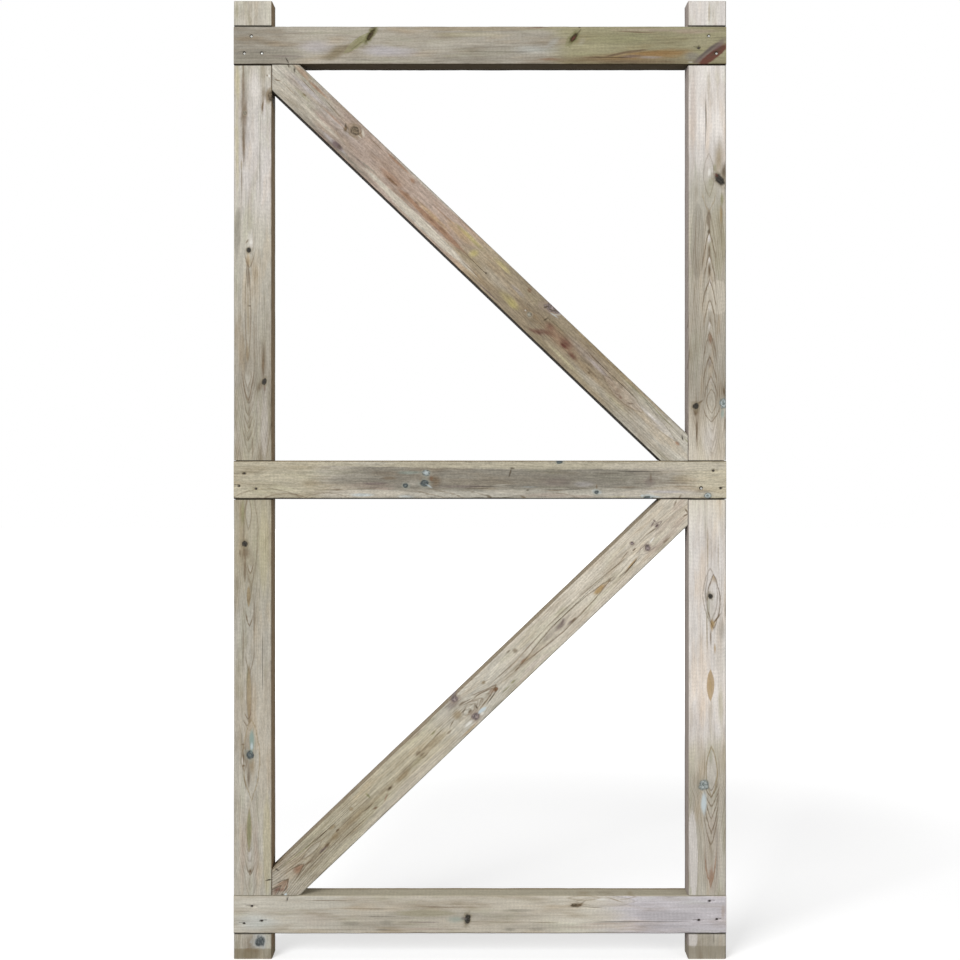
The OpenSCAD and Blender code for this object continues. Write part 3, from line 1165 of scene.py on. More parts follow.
# Rows of blots and marks: u, v, length, width, tone, amount, turn, softness. Blots lie under the knots, and
# marks over them.
def hanging_stile():
    return stile(
        "hanging_stile", 1,
        zones=[
            (0, "linen", 1.03), (110, "linen", 1), (230, "milk", .84), (330, "milk", .87),
            (430, "linen", 1), (540, "linen", .92), (620, "silver", .98), (700, "silver", .9),
            (760, "silver", 1), (880, "sand", .82), (1000, "sand", .85), (1150, "linen", .88),
            (1300, "silver", 1.2), (1400, "linen", 1), (1750, "linen", 1),
        ],
        heart=[
            (0, -4, 9, 0, .2), (400, -6, 9, 0, .15), (470, -7, 8, 1, .3), (680, -8, 8, 2, .3),
            (700, -8, 8, 3, .4), (835, -8, 8, 9, .6), (910, -10, 9, 9, .25), (1040, -8, 8, 10, .3),
            (1150, -8, 8, 13, .35), (1225, -6, 8, 13, .25), (1310, -7, 8, 13, .3), (1340, -8, 8, 15, .3),
            (1420, -6, 9, 15, .3), (1435, -8, 8, 15, .35), (1545, -7, 8, 13, .35), (1600, -5, 8, 16, .4),
            (1750, -4, 9, 18, .3),
        ],
        wet=(1731, "wet", .8), sides=(("linen", "slate"), ("clay", "bark")), mottle=.09,
        knots=[
            Knot(204, -14.5, 7, 6, "pale"), Knot(174, 33, 20, 11, "brown"), Knot(455, -7, 9, 9, "black"),
            Knot(695, 21, 13, 9, "black", -15), Knot(992, -15, 11, 11, "black"),
            Knot(1377, -5, 16, 15, "blue"), Knot(1718, 13, 21, 19, "slate", -20),
        ],
        lenses=[
            Lens(455, -6, 66, 19, "umber", .7, "tan", .5, .35, 1),
            Lens(566, -9, 184, 11, "umber", .6, "silver", .35),
            Lens(676, -9.5, 64, 13, "umber", .8, "linen", .4, 0, 1),
            Lens(668, -9, 126, 21, "umber", .85, "linen", .3, 0, 1),
            Lens(735, -10, 42, 10, "umber", .45, half=1), Lens(752, -10, 42, 12, "umber", .4, half=1),
            Lens(768, -10, 42, 12, "umber", .35, half=1), Lens(784, -10, 40, 13, "umber", .4, half=1),
            Lens(975, -4, 190, 26, "umber", .45), Lens(935, -8, 60, 10, "umber", .45, "linen", .35),
            Lens(1026, -5, 40, 10, "umber", .8, "linen", .4, 0, 1),
            Lens(1120, -6.5, 44, 11, "umber", .85, "linen", .5, 0, 1),
            Lens(1180, -6, 100, 17, "umber", .55, half=1), Lens(1265, -7, 110, 9, "umber", .4, "tan", .8),
            Lens(1299, -9, 26, 10, "umber", .75, half=1), Lens(1310, -11, 28, 12, "umber", .6, half=1),
            Lens(1385, -3, 150, 31, "tan", .7), Lens(1385, -16, 44, 11, "umber", .5),
            Lens(1515, -7, 80, 9, "tan", .5, "moss", .8), Lens(1572, -5, 50, 15, "umber", .75, half=1),
            Lens(1600, -3, 90, 20, "umber", .4, half=1),
        ],
        blots=[
            (20, -29, 50, 13, "olive", .6), (155, 3, 90, 30, "milk", .8), (150, -28, 130, 12, "straw", .7),
            (205, -17, 240, 20, "umber", .58, 0, .9), (150, -17.5, 110, 8, "umber", .6),
            (204, -16, 70, 15, "umber", .75, 0, .95), (120, -18, 50, 4, "umber", .7),
            (262, -17, 110, 8, "umber", .85), (330, -21, 100, 4, "umber", .6),
            (187, 18, 60, 8, "umber", .5), (168, 20, 34, 14, "umber", .5),
            (192, 18, 34, 5, "umber", .9, -7), (172, 28, 34, 12, "umber", .8),
            (290, 13.5, 220, 4, "slate", .55), (270, -29, 230, 12, "straw", .7),
            (298, -21, 26, 6, "tan", .6), (422, -28, 110, 15, "slate", .6, -3, .5),
            (440, -4, 60, 16, "milk", .5), (439, -10.5, 13, 5, "umber", .7, -30),
            (474, -9, 40, 13, "amber", .5), (505, -8, 60, 8, "umber", .9), (575, -9, 120, 10, "tan", .7),
            (640, -10, 50, 8, "tan", .9, 0, .8), (655, 19, 120, 17, "umber", .65, 0, .95),
            (664, 18, 60, 7, "umber", .85), (706, 21, 26, 6, "oxblood", .6),
            (704, 12, 30, 14, "umber", .6, -25), (780, 21, 150, 18, "milk", .4, 0, .6),
            (775, 6, 140, 6, "slate", .4), (815, -1, 50, 5, "umber", .5),
            (1000, 20, 200, 22, "straw", .5, 0, .5), (935, -18, 70, 12, "moss", .7),
            (1008, -13, 30, 20, "umber", .7), (1036, -15, 60, 7, "umber", .75),
            (1008, -24, 20, 5, "umber", .7), (1088, -8, 44, 8, "tan", .95, 0, .3),
            (1126, -12, 22, 4, "umber", .7, 12), (1180, -18, 120, 4, "umber", .5),
            (1130, 2, 120, 4, "umber", .55), (1235, -9, 60, 9, "moss", .6), (1295, -6, 60, 8, "brick", .6),
            (1400, 18, 370, 28, "cream", .6, 0, .7), (1385, -9, 120, 38, "umber", .35, 0, .95),
            (1015, -20, 120, 14, "umber", .3), (1350, -1, 60, 14, "teal", .5),
            (1398, -2, 44, 16, "tan", .6), (1420, -8, 70, 8, "umber", .6),
            (1425, -15, 40, 4, "umber", .7, 10), (1512, -7, 50, 6, "umber", .45),
            (1540, 26, 220, 20, "straw", .6, 0, .4), (1563, -6, 50, 8, "milk", .6),
            (1590, -5, 14, 7, "umber", .9), (1540, 5, 200, 14, "blush", .4),
            (1545, -18, 200, 14, "blush", .45), (1722, 4, 50, 56, "umber", .6),
            (1716, 12, 36, 30, "chip", .4),
        ],
        marks=[
            (204, -14.5, 4, 4, "umber", .9), (137, 30, 9, 5, "chip", .9), (136, 26, 6, 4, "umber", .8),
            (441, -3, 12, 9, "chip", .6), (557, -6, 4, 8, "bark", .7),
            (1352, -2, 54, 11, "teal", .95, 0, .6), (1361, -2, 20, 8, "frost", .75),
            (1383, -17, 24, 5, "umber", .95), (1397, -17, 6, 8, "umber", .95),
            (1358, -18, 5, 9, "umber", .7), (1389, -19, 20, 4, "chip", .5),
            (1606, 29, 15, 3, "bark", .9, -80), (1740, -33, 24, 11, "silver", .85, 0, .3),
            (1741, -4, 24, 42, "umber", .6, 0, .5), (1734, -9, 9, 14, "russet", .8, 0, .5),
            (1735, 6, 8, 16, "russet", .6, 0, .6),
        ],
        checks=[
            Check(845, 60, -22.0), Check(1150, 120, 18.0), Check(620, 160, 5.0, back=True),
            Check(1300, 220, -12.0, back=True),
        ],
        gouges=[(1606, 29, 14, 2.0, -80)],
    )


def closing_stile():
    return stile(
        "closing_stile", 2,
        zones=[
            (0, "milk", 1.0), (120, "milk", 1.08), (220, "milk", 1.1), (270, "milk", .95),
            (360, "linen", .95), (420, "silver", 1.2), (540, "silver", 1.13), (690, "silver", .97),
            (790, "cream", 1), (880, "cream", 1.2), (1000, "milk", 1.02), (1200, "milk", 1.1),
            (1260, "milk", 1.25), (1325, "milk", 1.08), (1385, "cream", .98), (1460, "silver", 1.15),
            (1560, "linen", 1.05), (1750, "linen", 1.1),
        ],
        heart=[
            (0, 3, 9, 10, .12), (300, 3, 9, 10, .12), (375, 3, 8, 10, .3), (420, 4, 7, 9, .55),
            (560, 5, 7, 5.5, .55), (690, 5, 7, 2, .5), (735, 8, 6, 1, .7), (760, 8, 7, 2, .5),
            (835, 8, 8, 5, .3), (910, 10, 9, 5, .15), (1050, 12, 9, 5, .2), (1088, 10, 8, 5, .3),
            (1125, 8, 8, 6.5, .3), (1170, 6, 8, 7, .15), (1250, 6, 8, 7, .12), (1380, 7, 8, 6, .2),
            (1432, 8, 7, 5, .55), (1450, 8, 7, 7, .6), (1530, 9, 7, 10.5, .4), (1600, 8, 7, 12, .35),
            (1640, 6, 8, 12.5, .3), (1750, 2, 9, 13, .3),
        ],
        inward=True, wet=(1726, "damp", .85), sides=(("rose", "plum"), ("linen", "slate")),
        knots=[
            Knot(326, 23, 25, 14, "black", 38), Knot(735, 30, 19, 15, "ringed"),
            Knot(740, -21, 12, 11, "black"), Knot(1087, 6, 10, 10, "black"),
            Knot(1432, -6, 21, 18, "ringed", -25),
        ],
        lenses=[
            Lens(318, 3, 80, 20, "umber", .4), Lens(345, 3, 80, 26, "tan", .6, half=1),
            Lens(500, 4, 160, 25, "umber", .85, half=-1), Lens(530, 4, 134, 23, "umber", .7, half=-1),
            Lens(574, 4, 132, 25, "umber", .85, half=-1), Lens(606, 5, 122, 22, "umber", .75, half=-1),
            Lens(666, 5, 122, 23, "umber", .75, "brick", .5, .72, -1),
            Lens(708, 5, 118, 25, "umber", .8, "milk", .5, .6, -1),
            Lens(735, 7, 98, 25, "umber", .7, "milk", .5, .6, -1), Lens(731, 8, 44, 17, "umber", .6),
            Lens(738, 7.5, 62, 30, "umber", .75, half=1), Lens(760, 8, 120, 22, "umber", .3, half=1),
            Lens(1086, 6, 100, 26, "umber", .5, "milk", .4),
            Lens(1097, 12, 100, 23, "umber", .8, "amber", .9, .6),
            Lens(1250, 6.5, 56, 12, "amber", .8, "amber", .8),
            Lens(1408, 8, 92, 19, "tan", .8, "milk", .4, -.5), Lens(1425, 7, 36, 13, "umber", .75, half=1),
            Lens(1424, 7, 62, 22, "umber", .8, half=1), Lens(1430, 8, 84, 28, "umber", .7, half=1),
            Lens(1440, 8, 108, 26, "umber", .75, half=1), Lens(1458, 8, 124, 25, "umber", .75, half=1),
            Lens(1476, 7, 134, 25, "umber", .75, half=1),
            Lens(1545, 6, 146, 21, "brick", .95, "brick", .9, .5, 1),
        ],
        blots=[
            (20, 3, 60, 5, "tan", .6), (155, 3, 90, 9, "tan", .4), (207, -2, 96, 3, "umber", .75, 1),
            (200, -26, 240, 20, "blush", .5), (750, -20, 110, 22, "umber", .3),
            (1190, 22, 230, 24, "tan", .3), (1110, 6, 110, 18, "olive", .35),
            (290, 21, 110, 24, "tan", .8, -4, .95), (312, 32, 50, 18, "umber", .8),
            (306, 14, 24, 9, "moss", .6), (313, 30, 24, 8, "bark", .6), (330, 7, 26, 14, "moss", .4),
            (345, 5, 60, 38, "olive", .4), (363, 27, 34, 9, "moss", .75), (396, 26, 60, 8, "umber", .75),
            (392, 25, 44, 7, "amber", .7), (430, 26, 50, 4, "umber", .5),
            # The olive and slate blots from u 358 to 513 and the cream one at u 541 lay a crisp-edged darker
            # patch and a lighter one after it: painted shade and painted sunlight.
            (434, 18, 152, 34, "olive", .4, 0, .3), (440, -18, 146, 26, "slate", .35, 0, .12),
            (400, 3, 48, 10, "umber", .7, 0, .5), (421, 3, 14, 8, "bark", .8), (434, 4, 22, 9, "milk", .95),
            (472, 4, 18, 7, "milk", .8), (455, 4, 26, 6, "umber", .8), (492, 4, 32, 7, "umber", .9),
            (516, 5, 22, 8, "milk", .9), (556, 5, 28, 8, "milk", .95), (536, 4, 18, 6, "umber", .8),
            (541, 20, 66, 42, "cream", .85, 0, .1), (440, -21, 150, 3.5, "umber", .5),
            (592, 4, 24, 6, "milk", .6), (617, 6, 30, 10, "brick", .8), (660, 5, 28, 8, "umber", .85),
            (715, 31, 34, 9, "umber", .85), (772, 33, 50, 6, "umber", .8), (785, -19, 74, 6, "umber", .9),
            (733, -13, 20, 6, "umber", .8, -55), (751, -21, 22, 13, "umber", .9),
            (800, 6, 90, 44, "milk", .5), (1010, 1.5, 130, 4, "tan", .6),
            (1068, -1, 56, 4, "umber", .7, -8), (1010, 20.5, 100, 3.5, "tan", .5),
            (1090, -2, 50, 5, "umber", .9, 4), (1150, 0, 120, 4, "tan", .7, 1),
            (1110, 2, 60, 9, "moss", .75), (1128, 18, 34, 5, "umber", .95, -36),
            (1112, 34, 54, 6, "umber", .8), (1140, 9, 30, 10, "amber", .95),
            (1163, 7, 44, 4.5, "umber", .8), (1150, 28, 60, 16, "slate", .4),
            (1183, 14, 26, 5, "amber", .7), (1250, 6.5, 34, 6, "straw", .6),
            (1300, -15, 200, 20, "blush", .2), (1290, 24, 120, 14, "straw", .5),
            (1380, 7, 44, 9, "moss", .95, -2), (1395, -4, 80, 4, "tan", .5),
            (1725, 0, 60, 80, "umber", .32, 0, .6), (1596, 8, 40, 9, "brick", .9),
            (1560, 10, 170, 34, "blush", .35, 0, .3), (1560, -26, 180, 19, "milk", .9, 1.5, .2),
            (1712, -27, 40, 20, "milk", .8, 0, .2), (1712, 12, 34, 4, "slate", .7),
        ],
        marks=[
            (318, 17, 14, 7, "oxblood", .7, 38), (313, 4, 20, 8, "chip", .85), (754, 28, 22, 9, "teal", .7),
            (1465, -6, 56, 14, "frost", .95, 0, .7), (1745, -12, 38, 11, "russet", .9),
            (1742, 3, 30, 5, "tan", .6),
        ],
        checks=[
            Check(180, 90, -3.0), Check(1500, 110, 18.0), Check(400, 260, 9.0, back=True),
            Check(1100, 140, -16.0, back=True),
        ],
    )


def top_rail():
    return rail(
        "top_rail", 3,
        zones=[
            (0, "silver", .74), (60, "silver", .82), (120, "silver", .95), (165, "silver", .97),
            (300, "silver", .93), (480, "silver", .86), (560, "silver", .88), (620, "fern", 1.1),
            (760, "fern", 1), (900, "fern", 1.04),
        ],
        # Its soot and pit underside and dark low front arris are painted shade, with some stain.
        streaks=.09, mottle=.08, sides=(("soot", "pit"), ("silver", "slate")), edges=(.8, .25),
        heart=[(0, 60, 30, 0, .2), (300, 62, 30, 0, .15), (900, 72, 30, 3, .2)], ring=5,
        knots=[
            Knot(250, 19, 27, 9, "spike", 56, reach=(40, 14)), Knot(621, 14, 22, 10, "spike", 52),
        ],
        lenses=[
            Lens(225, 4, 58, 12, "moss", .8, "moss", .4, turn=38),
            Lens(620, 14, 42, 13, "moss", .7, turn=50),
        ],
        blots=[
            (60, -19, 170, 28, "slate", .6, 0, .4), (90, -20, 110, 3, "plum", .55),
            (150, -2, 90, 34, "lilac", .6), (210, -20, 150, 20, "umber", .2),
            (228, 8, 36, 12, "moss", .85, 42), (222, 2, 44, 9, "moss", .7, 40),
            (240, 12, 22, 7, "moss", .9, 60), (232, 6, 44, 17, "moss", .75, 45, .9),
            (216, -3, 54, 18, "wet", .6, 40), (226, 0, 60, 5, "bark", .7, 38),
            (205, -4, 34, 12, "wet", .8, 42), (188, -13, 60, 28, "wet", .95, 33),
            (172, -22, 44, 16, "wet", .6), (268, -10, 90, 30, "lilac", .75), (230, -27, 90, 5, "slate", .6),
            (305, -12, 90, 26, "lilac", .6), (450, 31, 320, 10, "tan", .45, 0, .4),
            (390, 4, 200, 26, "linen", .5), (430, 20, 200, 14, "straw", .35),
            (430, -26, 260, 16, "slate", .45), (470, -4, 130, 10, "slate", .35),
            (555, 32, 60, 3, "oxblood", .7), (550, -8, 110, 24, "frost", .25, 0, .95),
            (583, 5, 40, 18, "frost", .2, 35, .95), (578, -26, 56, 7, "brick", .8),
            (636, 6, 26, 16, "linen", .3, 50, .95), (700, 12, 180, 26, "moss", .35),
            (735, 25, 110, 2.8, "oxblood", .6, -2), (760, 29, 200, 8, "blush", .5),
            (840, 26, 120, 12, "blush", .5), (700, -28, 460, 26, "umber", .65, 0, .7),
            (735, -20, 250, 24, "ochre", .6, 3, .8), (800, -14, 110, 24, "ochre", .75, 3, .85),
            (760, -14, 130, 15, "ochre", .8, 2, .8), (660, -22, 60, 5, "umber", .9, 2),
            (700, -16.5, 66, 6, "umber", 1, 14, .6), (732, -10.5, 70, 6.5, "umber", 1, 8, .7),
            (725, -20, 60, 9, "plum", .6, 4), (760, -22, 70, 7, "lilac", .35),
            (740, -30, 230, 9, "umber", .75), (838, -20, 44, 24, "slate", .8),
            (834, -31, 14, 4, "chip", .35), (850, 6, 70, 30, "olive", .6),
        ],
        marks=[
            (254, 33, 11, 6, "bark", .9), (251, 18, 20, 6, "bark", .5, 56, .95),
            (632, 33, 7, 5, "bark", .8), (621, 13, 20, 7, "oxblood", .8, 52, .95),
            (630, 24, 22, 5, "bark", .6, 50), (870, -11, 90, 17, "plum", .8, 38, .5),
            (866, -10, 84, 8, "ink", .45, 38), (876, -18, 82, 18, "oxblood", .95, 38, .35),
            (886, -2, 34, 8, "plum", .6, 38), (882, -11, 60, 8, "bark", .5, 38, .9),
        ],
        nails=[
            (32, 17.5, True), (19, -14, True), (51, -14, True), (868, 18, True), (850, -4, False),
            (882, -14, True),
        ],
        checks=[Check(420, 130, -12.0), Check(655, 70, -22.0), Check(250, 200, 10.0, back=True)],
        gouges=[(98, -28, 17, 2.6, -62)],
    )


def middle_rail():
    return rail(
        "middle_rail", 4,
        zones=[
            (0, "sand", .97), (130, "sand", .95), (190, "silver", 1.04), (260, "slate", 1.12),
            (540, "slate", 1.15), (720, "slate", 1.14), (790, "silver", 1.03), (860, "sand", 1.04),
            (900, "sand", 1.06),
        ],
        # Its pit-dark underside and black low front arris are painted shade.
        streaks=.11, mottle=.16, sides=(("pit", "pit"), ("tan", "slate")), edges=(1.1, .5),
        heart=[
            (0, -52, 25, 0, .25), (150, -50, 25, 2, .2), (400, -50, 25, 1, .15), (900, -55, 25, 3, .2),
        ],
        ring=4.5,
        knots=[
            Knot(351, 13, 15, 12, "ringed"), Knot(349, -6, 16, 13, "blue"), Knot(314, -10, 10, 9, "blue"),
            Knot(595, 33, 12, 8, "blue"), Knot(663, -22, 9, 7, "blue"), Knot(757, -33, 18, 7, "blue"),
            Knot(866, -28, 14, 12, "ringed"),
        ],
        lenses=[
            Lens(60, -34, 130, 34, "umber", .5), Lens(95, -36, 90, 20, "umber", .5),
            Lens(170, -36, 90, 24, "umber", .4), Lens(300, -34, 180, 30, "umber", .55, half=1),
            Lens(345, -36, 160, 40, "umber", .55, half=1), Lens(400, -40, 170, 44, "umber", .45, half=1),
            Lens(560, -38, 170, 32, "umber", .4, half=1),
        ],
        blots=[
            (210, -1, 110, 34, "slate", .7), (720, 2, 270, 34, "slate", .4, 0, .4),
            (450, 1, 520, 34, "slate", .45, 0, .3), (250, -10, 130, 16, "plum", .35),
            (280, 12, 100, 14, "umber", .3), (450, 31, 1100, 16, "sand", .8, 0, .2),
            (590, 25, 500, 12, "sand", .7, 0, .3), (640, -25, 500, 22, "linen", .55, 0, .4),
            (340, -24, 300, 20, "linen", .55, 0, .6), (345, 6, 90, 30, "umber", .2),
            (800, 25, 300, 18, "cream", .5, 0, .3), (250, 30, 120, 12, "linen", .5),
            (240, -26, 200, 20, "cream", .65, 0, .5), (275, -16, 60, 9, "blush", .6),
            (235, -28, 60, 9, "frost", .6), (290, -25, 90, 15, "cream", .6), (315, -30, 40, 9, "frost", .4),
            (420, -27, 250, 14, "linen", .8, 0, .3), (500, -22, 100, 9, "cream", .6),
            (580, -28, 150, 12, "blush", .45), (680, -27, 170, 13, "linen", .75, 0, .4),
            (790, -25, 230, 20, "cream", .75, 0, .5), (790, -22, 120, 8, "lilac", .6),
            (640, -30, 60, 8, "blush", .5), (700, -31, 60, 6, "straw", .4),
            (467, -31, 20, 7, "bark", .75, -25), (530, -32, 22, 5, "umber", .8, -25),
            (140, -5, 50, 22, "tan", .35), (285, 4, 40, 10, "umber", .6), (255, -6, 60, 8, "plum", .55),
            (190, -18, 24, 6, "umber", .7), (240, -16, 100, 4, "umber", .4, 3),
            (320, 14, 60, 10, "teal", .45), (367, -2, 34, 30, "umber", .75), (342, -2, 8, 22, "russet", .6),
            (361, 3, 10, 14, "russet", .8), (330, -5, 40, 20, "linen", .4), (420, -12, 120, 7, "plum", .45),
            (440, -16, 90, 3, "bark", .6), (505, 13, 24, 5, "bark", .8, 74), (509, 22, 12, 5, "bark", .8),
            (540, -13, 44, 3, "frost", .4), (537, -19, 9, 5, "bark", .85),
            (590, -4, 80, 26, "plum", .35, 0, .8), (585, -20, 60, 4, "umber", .6),
            (640, -8, 50, 16, "lilac", .35), (630, -16, 70, 5, "bark", .5), (680, 12, 60, 7, "bark", .35),
            (762, 4, 6, 26, "umber", .6), (724, -4, 26, 20, "linen", .3, 0, .95),
            (760, -4, 28, 28, "plum", .4), (720, -14, 60, 6, "umber", .5), (820, 2, 60, 24, "tan", .5),
            (815, -6, 100, 2.6, "umber", .7), (822, -12, 90, 2.6, "umber", .6),
            (663, -22, 26, 12, "frost", .8, -8), (757, -29, 34, 8, "frost", .7),
            (770, -31, 34, 5, "frost", .7), (856, -20, 44, 8, "umber", .4), (858, -32, 24, 5, "umber", .5),
        ],
        marks=[
            (351, 13, 8, 6, "frost", .7), (357, -11, 18, 5, "frost", .5, -35),
            (488, -9, 44, 2.4, "linen", .7, 3), (484, -12, 36, 2.2, "linen", .6, 3),
            (663, -12, 5, 12, "umber", .7), (746, -29, 8, 6, "frost", .7), (762, -33, 6, 4, "frost", .9),
            (815, -31, 16, 5, "umber", .6, 60),
        ],
        nails=[
            (19, 11.5, False), (9, -11, False), (40, -16, False), (877, 17, False), (854, -15, True),
            (890.5, -15, False),
        ],
        checks=[
            Check(425, 70, -12.0), Check(560, 80, -17.5), Check(700, 90, 15.5),
            Check(150, 240, 4.0, back=True),
        ],
    )


def bottom_rail():
    return rail(
        "bottom_rail", 5,
        zones=[
            (0, "linen", 1.15), (90, "linen", 1.1), (170, "linen", 1.05), (230, "silver", 1.25),
            (400, "silver", 1.3), (560, "silver", 1.35), (640, "linen", 1.3), (740, "lilac", 1.3),
            (900, "lilac", 1.25),
        ],
        streaks=.04, sides=(("slate", "ink"), ("sand", "tan")), edges=(.8, .15),
        heart=[(0, 50, 30, 0, .18), (900, 60, 30, 1, .18)], ring=5,
        knots=[Knot(427, -8, 12, 17, "black", -10), Knot(625, 17, 20, 6, "brown")],
        lenses=[
            Lens(680, 24, 110, 20, "umber", .25, "cream", .4), Lens(640, 30, 60, 8, "tan", .5),
            Lens(700, 32, 70, 10, "tan", .5, half=1),
        ],
        blots=[
            (40, -14, 120, 44, "frost", .35, 0, .8), (380, -3, 420, 24, "slate", .33, 0, .6),
            (260, -20, 280, 24, "slate", .3), (560, -22, 200, 20, "slate", .28),
            (170, 26, 150, 2.6, "umber", .65), (235, 11, 170, 2.8, "umber", .5),
            (150, -8, 90, 40, "blush", .25), (215, -16, 50, 13, "slate", .6),
            (280, -15, 34, 16, "slate", .45), (190, -28, 160, 2.6, "umber", .5),
            (270, -28, 50, 4, "slate", .7), (370, 13.5, 180, 2.8, "umber", .8),
            (520, 8, 80, 9, "slate", .5), (350, 2, 140, 18, "olive", .6, 0, .5),
            (345, -14, 100, 2.8, "plum", .7), (350, -26, 120, 6, "blush", .6),
            (480, -13, 150, 2.6, "umber", .6), (570, -14, 60, 2.8, "umber", .6),
            (505, -28, 30, 9, "slate", .5), (555, -27, 40, 12, "slate", .35),
            (636, 21, 26, 5, "umber", .8, 35), (655, 13.5, 60, 2.4, "umber", .7, -5),
            (670, 0, 130, 30, "cream", .5), (740, 34, 90, 4, "blush", .6),
            (790, -2, 160, 26, "lilac", .8, 0, .5), (720, -13.5, 240, 3.4, "slate", .6),
            (670, -16, 120, 5, "blush", .6), (650, -22, 160, 12, "blush", .4),
            (790, -22, 130, 14, "lilac", .7), (894, 5, 10, 40, "blush", .5),
        ],
        marks=[
            (420, -7, 14, 8, "plum", .7), (406, -9, 46, 18, "teal", .55, 0, .95),
            (622, 16, 18, 4.5, "bark", .95), (632, 17, 16, 3.5, "umber", .8, 10),
            (672, 28, 30, 6, "chip", .75), (697, 27, 44, 3, "tan", .8, -18),
        ],
        nails=[
            (33, 14.5, False), (51, -12, False), (18, -17, False), (870, 24, False), (850, -11, False),
            (883.5, -9.5, False),
        ],
        checks=[Check(240, 60, -4.0), Check(660, 180, -13.0), Check(500, 150, 9.0, back=True)],
        gouges=[(98, 28, 14, 2.6, 75)],
    )


